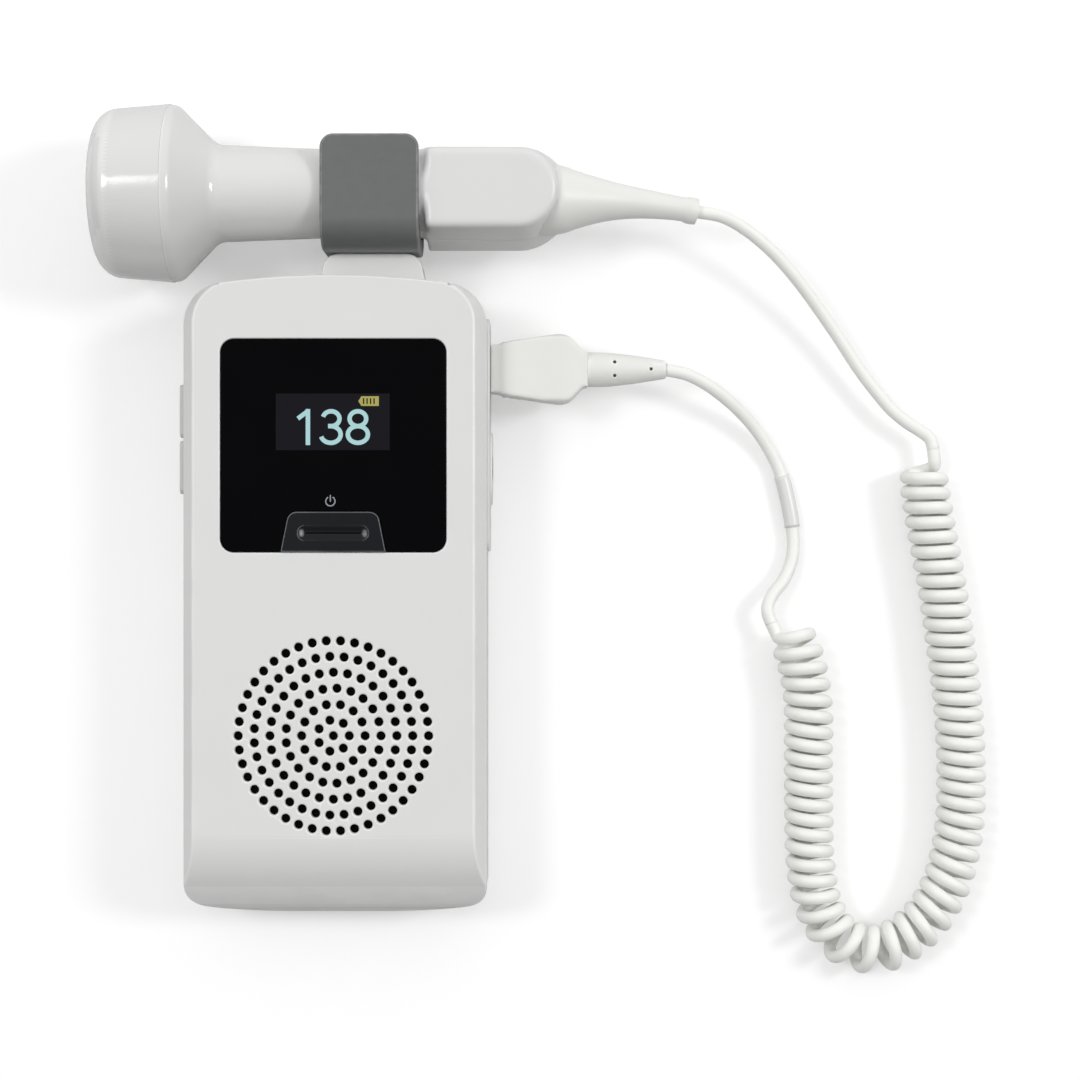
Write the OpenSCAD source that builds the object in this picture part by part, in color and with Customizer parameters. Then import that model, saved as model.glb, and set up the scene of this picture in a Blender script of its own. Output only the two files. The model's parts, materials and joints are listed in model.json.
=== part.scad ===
// Pocket ultrasound doppler. The main unit lies on its back, a clip at its top end
// holds the probe across, and a curly cord runs from the probe to a plug in its side.
// Millimetres. The origin is the centre of the back face, +Y points at the clip
// and +Z out of the display.

/* [Main unit] */
// Width of the main unit
unit_w = 79; // [76:0.5:84]
// Length of the main unit
unit_l = 168; // [164:1:178]
// Thickness of the main unit
unit_t = 34; // [33:0.5:38]
// Wall of both covers
wall = 2.2; // [1.8:0.1:2.4]
// Height of the joint between the covers
parting_z = 20; // [19.5:0.1:20.5]
// Corner radius at the top end, seen from the front
top_corner_r = 10.5; // [10:0.5:13]
// Corner radius at the bottom end, seen from the front
bottom_corner_r = 6; // [4.5:0.5:9]
// Radius of the shallow arcs that both ends follow
end_arc_r = 220; // [180:5:300]
// Width of the bevel along the front face
bevel_w = 3; // [2:0.1:3.6]
// Depth of the bevel along the front face
bevel_h = 5; // [4:0.1:5.5]
// How much each side leans in towards the back
side_lean = 0.5; // [0:0.1:0.8]
// Radius with which the front face rolls down at the bottom end
roll_r = 24; // [18:0.5:26]
// Radius of the edges round the back face
back_edge_r = 5; // [4:0.25:6]

/* [Window and display] */
// Width of the display window
window_w = 58.2; // [56:0.2:60]
// Length of the display window
window_l = 55; // [53:0.5:57]
// Corner radius of the display window
window_r = 3.4; // [2:0.2:5]
// Thickness of the display window
window_t = 2; // [1.4:0.1:2.2]
// Distance from the top end to the window
window_gap = 16.6; // [15:0.2:19]
// Thickness of the seat under the window
seat_t = 1.6; // [1.2:0.1:2]
// Width of the lit area of the display
lit_w = 29.4; // [28:0.2:30]
// Height of the lit area of the display
lit_l = 14.7; // [14:0.1:15.5]
// Distance from the window's top edge to the middle of the lit area
lit_gap = 21.4; // [20:0.2:23]

/* [Power button] */
// Width of the power button at its lower edge
power_w = 27.2; // [24:0.2:29]
// Width of the power button at its upper edge
power_top_w = 23.6; // [20:0.2:24]
// Length of the power button
power_l = 10.4; // [9:0.2:12]
// How far the power button stands above the window
power_proud = 0.4; // [0.1:0.1:0.8]
// Travel of the power button
power_travel = 0.5; // [0.3:0.1:0.6]

/* [Volume keys] */
// Length of each volume key
key_l = 14; // [12:0.2:14.6]
// Height of each volume key
key_h = 8; // [6:0.5:9]
// How far the volume keys stand out of the side
key_proud = 1.8; // [0.8:0.1:2.2]
// Distance between the middles of the two keys
key_pitch = 14.8; // [14.8:0.1:16]
// Distance from the top end to the middle between the keys
key_gap = 42; // [40:0.5:44]
// Travel of a volume key
key_travel = 0.4; // [0.3:0.1:0.5]

/* [Speaker] */
// Rings of holes in the speaker grille
grille_rings = 6; // [4:1:6]
// Distance between the rings of holes
ring_step = 4.1; // [3.8:0.05:4.2]
// Diameter of a grille hole
hole_d = 2.35; // [1.6:0.05:2.6]
// Distance from the bottom end to the middle of the grille
grille_gap = 48.9; // [47:0.5:52]
// Diameter of the speaker
speaker_d = 54; // [53:0.5:56]
// Depth of the speaker
speaker_h = 12; // [10:0.5:12.5]

/* [Sockets] */
// How far the connector panel stands out of the side
panel_proud = 0.7; // [0.3:0.1:1]
// Length of the connector panel
panel_l = 61; // [58:0.5:62]
// Height of the connector panel
panel_h = 20; // [16:0.5:20.5]
// Distance from the top end to the connector panel
panel_gap = 10.5; // [10:0.5:12]
// Height of the sockets above the back face
socket_z = 14; // [13.8:0.1:14]
// Distance from the top end to the probe socket
plug_gap = 23; // [22.5:0.25:24]
// Distance from the top end to the earphone socket
jack_gap = 49.5; // [47:0.5:52]
// Bore of the earphone socket
jack_d = 3.6; // [3.5:0.02:3.8]

/* [Battery] */
// Width of the battery pack
pack_w = 51; // [46:0.5:52]
// Length of the battery pack
pack_l = 58; // [50:1:60]
// Thickness of the battery pack
pack_t = 11.6; // [10:0.2:12]

/* [Holder] */
// Sideways place of the clip from the unit's middle line
clip_x = 9.5; // [4:0.5:12]
// Width of the clip
clip_w = 25.4; // [22:0.2:26]
// Thickness of the clip's jaws
jaw_t = 2.3; // [1.8:0.1:3]
// Thickness of the clip's root
clip_root_t = 4; // [3.6:0.1:5]
// How far the jaws reach past the probe's axis
jaw_reach = 13.4; // [11:0.2:15]
// Play between the probe's neck and the clip
clip_play = 0.3; // [0.2:0.05:0.5]

/* [Probe] */
// Height of the probe's axis above the back face
probe_z = 23.5; // [23.4:0.1:26]
// Diameter of the probe's head
head_d = 46.4; // [40:0.2:46.6]
// Length of the head cap, from its seam to its face
cap_l = 19.7; // [17:0.1:22]
// Distance from the clip's left side to the seam of the head
seam_gap = 39.8; // [36:0.2:44]
// Diameter of the neck next to the head
neck_big_d = 25.2; // [24.6:0.1:26]
// Diameter of the neck in the clip
neck_d = 23.2; // [21:0.2:24]
// Wall of the probe's shells
probe_wall = 2.2; // [1.8:0.1:2.6]
// Width of the flat pad on the grip
pad_w = 20.3; // [18:0.1:21]
// Widest part of the grip
grip_w = 28; // [26:0.2:30]
// Length of the grip, from its shoulder to the middle of its round end
grip_l = 24; // [20:0.5:30]

/* [Cord] */
// Diameter of the cord
cord_d = 3.45; // [3:0.05:3.45]
// Outer diameter of the curls
curl_d = 13.4; // [12.4:0.1:13.5]
// Number of curls
curl_count = 55; // [44:1:55]
// Wall of the sleeve on the plug's lead
sleeve_t = 0.3; // [0.2:0.05:0.5]

/* [Plug] */
// Width of the plug at the socket
plug_w = 13.4; // [13.2:0.1:14.5]
// Widest part of the plug
plug_max_w = 16.9; // [15:0.1:18]
// Thickness of the plug
plug_t = 11; // [9:0.2:12]
// Length of the plug without its strain relief
plug_l = 25.7; // [22:0.1:28]
// Length of the plug's strain relief
relief_l = 21; // [18:0.5:24]
// Width of the metal shell of the plug
shell_w = 12; // [11:0.1:12.4]
// Height of the metal shell of the plug
shell_h = 4.5; // [4:0.1:4.6]
// Depth to which the plug's shell enters the socket
shell_in = 11.5; // [9:0.1:12]

/* [Hidden] */

// Facets of the round parts
round_fn = 96;
small_fn = 32;

// Clearances, named once
slide_gap = 0.15;
seat_gap = 0.1;
screw_gap = 0.05;
past = 1;

// Main unit
half_w = unit_w / 2;
half_l = unit_l / 2;
window_y = half_l - window_gap - window_l / 2;
lit_y = half_l - window_gap - lit_gap;
power_y = window_y - window_l / 2;
grille_y = -half_l + grille_gap;
window_z = unit_t - window_t;
seat_z = window_z - seat_t;
bevel_angle = atan2(bevel_h, bevel_w);
bevel_steps = 9;

// Board
board_z = socket_z + 3;
board_t = 1.6;
board_top = board_z + board_t;
board_x = half_w - 6;
board_low_y = grille_y + speaker_d / 2 + 2;
board_high_y = half_l - 16.2;
post_x = board_x - 13.5;
post_y = [board_low_y + 4, board_high_y - 3.5];
post_r = 3;
board_screw_r = 1;
board_screw_l = 7;
board_screw_head_r = 1.9;
board_screw_head_h = 1.4;
holder_w = lit_w + 7;
power_mid_y = power_y + power_l / 2;

// Case screws
screw_x = half_w - 6.7;
screw_y = [-half_l + 12, half_l - 12];
screw_r = 1.25;
screw_head_r = 2.6;
screw_head_h = 1.8;
screw_sink = 4;
case_screw_l = 22;
boss_r = 4;

// Volume keys
key_y = half_l - key_gap;
key_z = parting_z;
key_inner_x = half_w - wall - side_lean - seat_gap;
key_flange_t = 1;
key_lap = 1;
switch_gap = 0.15;

// Battery bay
bay_w = pack_w + 3.2;
bay_wall = 1.5;
bay_top = wall + 1.5 + pack_t + 0.3;
bay_high_y = grille_y + 22.5;
door_w = bay_w - 4.6;
door_gap = 0.2;
groove_l = 16;
groove_step = 2.4;
groove_depth = 0.5;
rail_lap = 2;
rail_t = 1;

// Sockets and panel
plug_y = half_l - plug_gap;
jack_y = half_l - jack_gap;
panel_y = half_l - panel_gap - panel_l / 2;
panel_t = 1.6;
panel_x = half_w + panel_proud;
panel_back_x = panel_x - panel_t;
panel_r = 3;
socket_wall = 0.5;
shell_gap = 0.1;
socket_w = shell_w + 2 * shell_gap + 2 * socket_wall;
socket_h = shell_h + 2 * shell_gap + 2 * socket_wall;
socket_l = shell_in + 3.5;
jack_l = 13;
jack_collar_r = 3.4;

// Holder
probe_r = neck_d / 2;
jaw_gap = probe_r + clip_play;
clip_half = jaw_gap + jaw_t;
lug_l = 6.6;
clip_y = half_l + lug_l;
probe_y = clip_y + clip_root_t + jaw_gap;
lug_z = 20;
lug_h = 12;
lug_w = 28.7;
lug_top_w = 17.4;
lug_r = 4.5;
neck_w = 18;
neck_h = 9;
clip_screw_x = 6;

// Probe, with places along its axis
head_r = head_d / 2;
seam_x = clip_x - clip_w / 2 - seam_gap;
face_x = seam_x - cap_l;
cap_edge_r = 6.5;
cap_taper = 1.1;
face_r = head_r - cap_taper - cap_edge_r;
disc_t = 1;
backing_t = 7;
grip_x = clip_x + clip_w / 2 + 1.5;
grip_end_x = grip_x + grip_l;
pad_up = probe_r + 0.2;
grip_wide_down = 9;
grip_down = 13.5;
grip_foot_w = grip_w - 7;
flare_r = 1;
flare_x = grip_x - flare_r;
head_edge_r = 3.2;
relief_drop = 1.6;
relief_root_r = 8.9;
relief_root_x = grip_end_x + 4.5;

// Plug
plug_x = panel_x + slide_gap;
plug_end_x = plug_x + plug_l;
relief_end_x = plug_end_x + relief_l;
shell_t = 0.3;
rib_r = 0.45;
plug_edge = 0.9;

// Route of the strain relief on the probe: place and radius at each ring
relief_route = [
    [relief_root_x, probe_y - relief_drop, probe_z, relief_root_r],
    [grip_end_x + 10, probe_y - relief_drop, probe_z, relief_root_r],
    [grip_end_x + 12.5, probe_y - 1.6, probe_z - 0.1, 8.5],
    [grip_end_x + 15.5, probe_y - 1.6, probe_z - 0.2, 7.5],
    [grip_end_x + 20, probe_y - 1.65, probe_z - 0.4, 6.2],
    [grip_end_x + 25, probe_y - 1.85, probe_z - 0.8, 5],
    [grip_end_x + 31, probe_y - 2.2, probe_z - 1.4, 4.1],
    [grip_end_x + 38, probe_y - 2.9, probe_z - 2.2, 3.45],
    [grip_end_x + 43, probe_y - 3.55, probe_z - 2.85, 3.2],
    [grip_end_x + 45, probe_y - 3.87, probe_z - 3.17, 3.55],
    [grip_end_x + 47, probe_y - 4.2, probe_z - 3.5, 3.45]
];
relief_dir = unit_vector([2.8, -0.47, -0.47]);

// Route of the curls' axis, a smooth curve through these points, at the height
// at which the curls lie on the surface
curl_axis = [
    [156.2, 39.8], [157, 33], [159, 20], [162, 4], [164.5, -13], [166.5, -30], [167.3, -46],
    [166.8, -62], [163.6, -76.5], [156.8, -88], [146, -94.9], [135.3, -92.8], [128.8, -83.5],
    [126.5, -71], [126.1, -57], [126, -43], [126, -30.5], [125, -21.5], [122.7, -13],
    [119.2, -5.4]
];
curl_r = (curl_d - cord_d) / 2;
curl_end_r = 0.72 * curl_r;
curl_z = curl_d / 2;
curl_sides = 6;
curl_rings = 8;

// Lead from the probe to the curls
probe_lead_route = [
    [102, 101.1, 18.9], [109, 97.4, 17.2], [116, 91.8, 15], [122.5, 85, 12.6],
    [128.5, 77.5, 10.2], [134, 70, 8.4], [139.3, 62.2, 7.2], [144.2, 55.8, 6.7],
    [148.3, 51, 6.6], [152.3, 47.3, 6.6], [156.2, 44.3, 6.7], [158.7, 42.2, 6.7]
];

// Lead from the plug to the curls
plug_lead_route = [
    [93, 59.7, 13.3], [98.5, 57, 11.6], [104, 53.2, 9], [109, 48.8, 6.2],
    [113.2, 44, 4], [116.6, 38.8, 2.7], [119.2, 33, 2.2], [121, 26, 2.2], [122.2, 19, 2.2],
    [122.4, 13, 2.6], [121.4, 8.4, 3.3], [119.3, 4.2, 4.4], [117, 0.4, 5.6],
    [115.8, -3.3, 6.5]
];
sleeve_first = 7;
sleeve_last = 9;
lead_sides = 8;

// Points on an arc
function arc(c, r, a0, a1, n) = [for (i = [0:n])
    let (a = a0 + (a1 - a0) * i / n) [c.x + r * cos(a), c.y + r * sin(a)]];

function unit_vector(v) = v / norm(v);

function total(v, i = 0) = i < len(v) ? v[i] + total(v, i + 1) : 0;

// Outline of the unit seen from the front, drawn in by g
function unit_outline(g) = let (
    w = half_w - g,
    ar = end_arc_r - g,
    ac = half_l - end_arc_r,
    tr = top_corner_r - g,
    br = bottom_corner_r - g,
    ty = ac + sqrt(pow(ar - tr, 2) - pow(w - tr, 2)),
    by = -ac - sqrt(pow(ar - br, 2) - pow(w - br, 2)),
    ta = atan2(ty - ac, w - tr),
    ba = atan2(-ac - by, w - br)
) concat(
    arc([w - tr, ty], tr, 0, ta, 10),
    arc([0, ac], ar, ta + 1, 179 - ta, 12),
    arc([tr - w, ty], tr, 180 - ta, 180, 10),
    arc([br - w, by], br, 180, 180 + ba, 8),
    arc([0, -ac], ar, 181 + ba, 359 - ba, 12),
    arc([w - br, by], br, 360 - ba, 360, 8)
);

// Takes the sharp corner off a flat shape: at is the corner, out points away
module corner_cut(at, out, r) {
    difference() {
        translate([at.x - (out.x > 0 ? r : past), at.y - (out.y > 0 ? r : past)])
            square(r + past);
        translate([at.x - r * out.x, at.y - r * out.y])
            circle(r, $fn = round_fn);
    }
}

// Section across the unit, X by Z
module unit_section(g) {
    w = half_w - g;
    foot = w - side_lean;
    top = half_w - bevel_w - g * tan(bevel_angle / 2);
    bevel_z = unit_t - bevel_h - g * tan((90 - bevel_angle) / 2);
    difference() {
        polygon([
            [foot, g], [w, bevel_z], [top, unit_t - g],
            [-top, unit_t - g], [-w, bevel_z], [-foot, g]
        ]);
        for (s = [-1, 1])
            corner_cut([s * foot, g], [s, -1], back_edge_r - g);
    }
}

// Section along the unit, Y by Z
module unit_profile(g) {
    l = half_l - g;
    difference() {
        translate([-l, g])
            square([2 * l, unit_t - 2 * g]);
        corner_cut([-l, unit_t - g], [-1, 1], roll_r - g);
        corner_cut([-l, g], [-1, -1], back_edge_r - g);
        corner_cut([l, g], [1, -1], back_edge_r - g);
    }
}

// Cuts that carry the side bevel round both top corners, where it runs out
module corner_bevels(g) {
    reach_r = end_arc_r - top_corner_r;
    run_x = half_w - top_corner_r;
    run_y = half_l - end_arc_r + sqrt(pow(reach_r, 2) - pow(run_x, 2));
    span = acos(run_x / reach_r);
    for (s = [0, 1])
        mirror([s, 0, 0])
            translate([run_x, run_y, unit_t])
                for (i = [1:bevel_steps - 1])
                    rotate(span * i / bevel_steps)
                        translate([top_corner_r - bevel_w * cos(90 * i / bevel_steps), 0, 0])
                            rotate([0, bevel_angle - 90, 0])
                                translate([-g, -unit_t / 2, -unit_t / 2])
                                    cube(unit_t);
}

// The unit as one solid, drawn in by g
module unit_solid(g) {
    difference() {
        intersection() {
            translate([0, 0, g])
                linear_extrude(unit_t - 2 * g)
                    polygon(unit_outline(g));
            rotate([90, 0, 0])
                linear_extrude(unit_l + 2 * past, center = true)
                    unit_section(g);
            rotate([90, 0, 90])
                linear_extrude(unit_w + 2 * past, center = true)
                    unit_profile(g);
        }
        corner_bevels(g);
    }
}

module slab(x0, x1, y0, y1, z0, z1) {
    translate([x0, y0, z0])
        cube([x1 - x0, y1 - y0, z1 - z0]);
}

// Flat rectangle with round corners
module round_rect(w, l, r) {
    square([w - 2 * r, l], center = true);
    square([w, l - 2 * r], center = true);
    for (x = [-1, 1], y = [-1, 1])
        translate([x * (w / 2 - r), y * (l / 2 - r)])
            circle(r, $fn = small_fn);
}

// Things that lie along X, drawn as they stand on Z
module along_x(x, y, z) {
    translate([x, y, z])
        rotate([0, 90, 0])
            children();
}

// Things in the plane of the right side, drawn flat with their first side along Y
module on_side(x, y, z) {
    translate([x, y, z])
        rotate([90, 0, 90])
            children();
}

// Outline of the power button, grown by g
module power_outline(g) {
    polygon(concat(
        [[-power_w / 2 - g, -g], [power_w / 2 + g, -g]],
        arc([power_top_w / 2 - 2.4, power_l - 2.6], 2.6 + g, 8, 90, 6),
        arc([2.4 - power_top_w / 2, power_l - 2.6], 2.6 + g, 90, 172, 6)
    ));
}

module grille_holes(h) {
    cylinder(h = h, d = hole_d, $fn = small_fn);
    for (k = [1:grille_rings], i = [0:7 * k - 1])
        rotate(i * 360 / (7 * k))
            translate([k * ring_step, 0, 0])
                cylinder(h = h, d = hole_d, $fn = small_fn);
}

module case_bosses(z0, z1) {
    for (s = [-1, 1], y = screw_y)
        translate([s * screw_x, y, z0])
            cylinder(h = z1 - z0, r = boss_r, $fn = small_fn);
}

module case_bores(z0, z1, r) {
    for (s = [-1, 1], y = screw_y)
        translate([s * screw_x, y, z0])
            cylinder(h = z1 - z0, r = r, $fn = small_fn);
}

// What the side walls and the top wall leave open in both covers
module cover_openings() {
    for (s = [-1, 1])
        translate([-half_w, key_y + s * key_pitch / 2, key_z])
            rotate([90, 0, 90])
                linear_extrude(4 * wall, center = true)
                    round_rect(key_l + 2 * slide_gap, key_h + 2 * slide_gap, 1.5);
    on_side(panel_back_x - seat_gap, panel_y, socket_z + 3)
        linear_extrude(2 * panel_t)
            round_rect(panel_l + 2 * seat_gap, panel_h + 2 * seat_gap, panel_r);
    slab(half_w - 4, half_w + past, plug_y - socket_w / 2 - seat_gap,
        plug_y + socket_w / 2 + seat_gap, socket_z - socket_h / 2 - seat_gap,
        socket_z + socket_h / 2 + seat_gap);
    along_x(half_w - 4, jack_y, socket_z)
        cylinder(h = 6, r = jack_collar_r + seat_gap, $fn = small_fn);
    slab(clip_x - neck_w / 2 - seat_gap, clip_x + neck_w / 2 + seat_gap,
        half_l - 2 * wall, half_l + past, lug_z - neck_h / 2 - seat_gap,
        lug_z + neck_h / 2 + seat_gap);
}

module front_cover() {
    color("whitesmoke")
        difference() {
            union() {
                difference() {
                    unit_solid(0);
                    unit_solid(wall);
                }
                intersection() {
                    unit_solid(wall / 2);
                    union() {
                        translate([0, window_y, seat_z])
                            linear_extrude(unit_t - seat_z)
                                round_rect(window_w + 4, window_l + 4, window_r + 2);
                        translate([0, grille_y, unit_t - wall - 5])
                            cylinder(h = 6, r = speaker_d / 2 + 1.6, $fn = round_fn);
                        case_bosses(parting_z, unit_t);
                    }
                }
            }
            slab(-unit_w, unit_w, -unit_l, unit_l, -past, parting_z);
            translate([0, window_y, window_z])
                linear_extrude(window_t + past)
                    round_rect(window_w + 2 * seat_gap, window_l + 2 * seat_gap,
                        window_r + seat_gap);
            translate([0, lit_y, seat_z - past])
                linear_extrude(seat_t + 2 * past)
                    square([lit_w + 1.6, lit_l + 1.6], center = true);
            translate([0, power_y, seat_z - past])
                linear_extrude(seat_t + 2 * past)
                    power_outline(slide_gap);
            translate([0, grille_y, unit_t - wall - 6])
                cylinder(h = 6, r = speaker_d / 2 + seat_gap, $fn = round_fn);
            translate([0, grille_y, unit_t - wall - past])
                grille_holes(wall + 2 * past);
            case_bores(parting_z - past, unit_t - wall - 2, screw_r + screw_gap);
            cover_openings();
        }
}

// Solid block of the battery bay, with the room inside as room
module bay(room) {
    w = bay_w / 2 + (room ? 0 : bay_wall);
    slab(-w, w, -half_l - (room ? past : 0), bay_high_y + (room ? 0 : bay_wall),
        room ? -past : wall / 2, bay_top + (room ? 0 : bay_wall));
}

module rear_cover() {
    color("whitesmoke")
        difference() {
            union() {
                difference() {
                    unit_solid(0);
                    unit_solid(wall);
                }
                intersection() {
                    unit_solid(wall / 2);
                    union() {
                        bay(false);
                        case_bosses(wall / 2, parting_z);
                        for (s = [-1, 1], y = post_y)
                            translate([s * post_x, y, wall / 2])
                                cylinder(h = board_z - wall / 2, r = post_r, $fn = small_fn);
                    }
                }
            }
            slab(-unit_w, unit_w, -unit_l, unit_l, parting_z, unit_t + past);
            intersection() {
                bay(true);
                union() {
                    unit_solid(wall);
                    slab(-door_w / 2, door_w / 2, -unit_l, bay_high_y, -past, wall + past);
                    slab(-door_w / 2 - rail_lap - door_gap, door_w / 2 + rail_lap + door_gap,
                        -unit_l, -half_l + 3 * wall, -past, wall + rail_t + 2 * door_gap);
                }
            }
            case_bores(-past, screw_sink, screw_head_r + 2 * seat_gap);
            case_bores(0, parting_z + past, screw_r + screw_gap);
            for (s = [-1, 1], y = post_y)
                translate([s * post_x, y, board_top - board_screw_l - 2])
                    cylinder(h = board_screw_l + 2, r = board_screw_r + screw_gap,
                        $fn = small_fn);
            cover_openings();
        }
}

module connector_panel() {
    color("whitesmoke")
        difference() {
            union() {
                on_side(panel_back_x, panel_y, socket_z + 3)
                    linear_extrude(panel_t)
                        round_rect(panel_l, panel_h, panel_r);
                on_side(panel_x - panel_t / 2, jack_y, socket_z)
                    linear_extrude(panel_t / 2 + 0.6)
                        round_rect(19.4, 9.4, 4.6);
            }
            slab(panel_back_x - past, panel_x + past, plug_y - socket_w / 2 - seat_gap,
                plug_y + socket_w / 2 + seat_gap, socket_z - socket_h / 2 - seat_gap,
                socket_z + socket_h / 2 + seat_gap);
            along_x(panel_back_x - past, jack_y, socket_z)
                cylinder(h = 6, r = jack_collar_r + seat_gap, $fn = small_fn);
        }
}

module display_window() {
    color([0.02, 0.02, 0.03])
        difference() {
            translate([0, window_y, window_z])
                linear_extrude(window_t)
                    round_rect(window_w, window_l, window_r);
            translate([0, power_y - past, window_z - past])
                linear_extrude(window_t + 2 * past)
                    translate([0, past])
                        power_outline(slide_gap);
        }
}

module oled_panel() {
    color([0.1, 0.1, 0.14])
        translate([0, lit_y, seat_z - slide_gap - 1.5])
            linear_extrude(1.5)
                square([lit_w + 5, lit_l + 8], center = true);
}

module display_holder() {
    color("dimgray")
        translate([0, lit_y, board_top])
            difference() {
                linear_extrude(seat_z - slide_gap - 1.5 - board_top)
                    square([holder_w, lit_l + 10], center = true);
                translate([0, 0, -past])
                    linear_extrude(unit_t)
                        square([lit_w + 2, lit_l + 5], center = true);
            }
}

module power_button() {
    color([0.16, 0.16, 0.18])
        translate([0, power_y, 0])
            difference() {
                union() {
                    translate([0, 0, seat_z - 1.3])
                        linear_extrude(unit_t + power_proud - seat_z + 1.3)
                            power_outline(0);
                    translate([0, 0, seat_z - 1.3])
                        linear_extrude(1.3 - slide_gap)
                            power_outline(1.2);
                    translate([0, power_l / 2, board_top + 3.4 + 0.8 + switch_gap + power_travel])
                        cylinder(h = seat_z - 1.3 + past - board_top - 4.2 - switch_gap - power_travel,
                            r = 2.2, $fn = small_fn);
                }
                translate([0, power_l / 2 - 0.3, unit_t + power_proud - 0.5])
                    linear_extrude(past)
                        round_rect(18, 3.4, 1.6);
            }
}

// Push switch of 6 mm, standing on its foot
module push_switch(plunger_h) {
    slab(-3, 3, -3, 3, 0, 3.4);
    translate([0, 0, 3.4])
        cylinder(h = plunger_h, r = 1.7, $fn = small_fn);
}

module power_switch() {
    color("silver")
        translate([0, power_mid_y, board_top])
            push_switch(0.8);
}

module volume_button(side) {
    y = key_y + side * key_pitch / 2;
    color([0.86, 0.86, 0.84]) {
        translate([-half_w - key_proud, y, key_z])
            rotate([90, 0, 90])
                linear_extrude(half_w + key_proud - key_inner_x)
                    round_rect(key_l, key_h, 1.5);
        on_side(-key_inner_x, y, key_z)
            linear_extrude(key_flange_t)
                square([key_pitch - 0.4, key_h + 2 * key_lap], center = true);
    }
}

module volume_up_button() {
    volume_button(1);
}

module volume_down_button() {
    volume_button(-1);
}

module volume_switches() {
    tip = -key_inner_x + key_flange_t + key_travel + switch_gap;
    color("silver")
        for (s = [-1, 1]) {
            y = key_y + s * key_pitch / 2;
            slab(tip + 0.5, tip + 5, y - 3, y + 3, board_top, board_top + 3.4);
            along_x(tip, y, board_top + 1.7)
                cylinder(h = 1, r = 1, $fn = small_fn);
        }
}

module circuit_board() {
    color("darkgreen")
        difference() {
            slab(-board_x, board_x, board_low_y, board_high_y, board_z, board_top);
            for (s = [-1, 1], y = post_y)
                translate([s * post_x, y, board_z - past])
                    cylinder(h = board_t + 2 * past, r = board_screw_r + screw_gap,
                        $fn = small_fn);
        }
}

// Chips, a shielding can, a capacitor and the battery's connector
module board_parts() {
    side_x = holder_w / 2 + 1.8;
    edge_x = board_x - 4.5;
    color([0.12, 0.12, 0.12]) {
        slab(-edge_x, -side_x, key_y - 7, key_y + 4, board_top, board_top + 1.4);
        slab(side_x + 2, edge_x, lit_y - 6, lit_y + 1, board_top, board_top + 1.1);
        slab(-post_x - 2, -post_x + 3, power_mid_y + 4.4, power_mid_y + 8.4,
            board_top, board_top + 1);
    }
    color("silver") {
        slab(side_x, edge_x + 1, lit_y + 4, lit_y + 14, board_top, board_top + 3);
        translate([edge_x - 7, power_mid_y - 3.6, board_top])
            cylinder(h = 7, r = 3.2, $fn = small_fn);
    }
    color("ivory")
        slab(-post_x + 4, -post_x + 14, board_low_y + 1, board_low_y + 6,
            board_top, board_top + 4);
}

module board_screws() {
    color("silver")
        for (s = [-1, 1], y = post_y)
            translate([s * post_x, y, board_top]) {
                cylinder(h = board_screw_head_h, r = board_screw_head_r, $fn = small_fn);
                translate([0, 0, -board_screw_l])
                    cylinder(h = board_screw_l + 0.5, r = board_screw_r, $fn = small_fn);
            }
}

// Speaker, seen from its mouth down: rim, basket with four windows, pot
module speaker_frame() {
    top = unit_t - wall - 0.35;
    color("dimgray")
        translate([0, grille_y, top - speaker_h])
            difference() {
                rotate_extrude($fn = round_fn)
                    polygon([
                        [10, 3], [14.5, 3], [speaker_d / 2 - 4, speaker_h - 3],
                        [speaker_d / 2, speaker_h - 3], [speaker_d / 2, speaker_h],
                        [speaker_d / 2 - 3, speaker_h], [speaker_d / 2 - 3, speaker_h - 1.6],
                        [speaker_d / 2 - 5, speaker_h - 1.6], [13.8, 4], [10, 4]
                    ]);
                for (a = [45:90:315])
                    rotate(a)
                        slab(15.5, speaker_d / 2 - 6.5, -5, 5, 0, speaker_h - 3.6);
            }
}

module speaker_cone() {
    top = unit_t - wall - 0.35;
    color([0.15, 0.15, 0.15])
        translate([0, grille_y, top - speaker_h])
            rotate_extrude($fn = round_fn)
                polygon([
                    [0, 5], [6, 5], [speaker_d / 2 - 5, speaker_h - 1.6],
                    [speaker_d / 2 - 3.1, speaker_h - 1.6], [speaker_d / 2 - 3.1, speaker_h - 1.2],
                    [speaker_d / 2 - 5.1, speaker_h - 1.2], [6, 5.5], [5, 6.6], [0, 7.2]
                ]);
}

module speaker_magnet() {
    top = unit_t - wall - 0.35;
    color("gray")
        translate([0, grille_y, top - speaker_h]) {
            cylinder(h = 3, r = 13, $fn = round_fn);
            translate([0, 0, 3])
                cylinder(h = 1.9, r = 5, $fn = small_fn);
        }
}

module dust_cloth() {
    color("black")
        translate([0, grille_y, unit_t - wall - 0.3])
            cylinder(h = 0.3, r = speaker_d / 2 - 0.2, $fn = round_fn);
}

module probe_socket() {
    color("silver")
        translate([panel_x - socket_l, plug_y, socket_z])
            difference() {
                slab(0, socket_l, -socket_w / 2, socket_w / 2, -socket_h / 2, socket_h / 2);
                slab(-past, socket_l + past, -shell_w / 2 - shell_gap, shell_w / 2 + shell_gap,
                    -shell_h / 2 - shell_gap, shell_h / 2 + shell_gap);
            }
}

// Plastic block at the back of the socket, and the tongue that the contacts lie on
module socket_tongue() {
    color([0.1, 0.1, 0.1])
        translate([panel_x - socket_l, plug_y, socket_z]) {
            slab(0, 2.4, -shell_w / 2, shell_w / 2, -shell_h / 2, shell_h / 2);
            slab(2.4, socket_l - 1.5, -shell_w / 2 + 0.6, shell_w / 2 - 0.6, 0.3,
                shell_h / 2 - shell_t - 0.15);
        }
}

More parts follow.
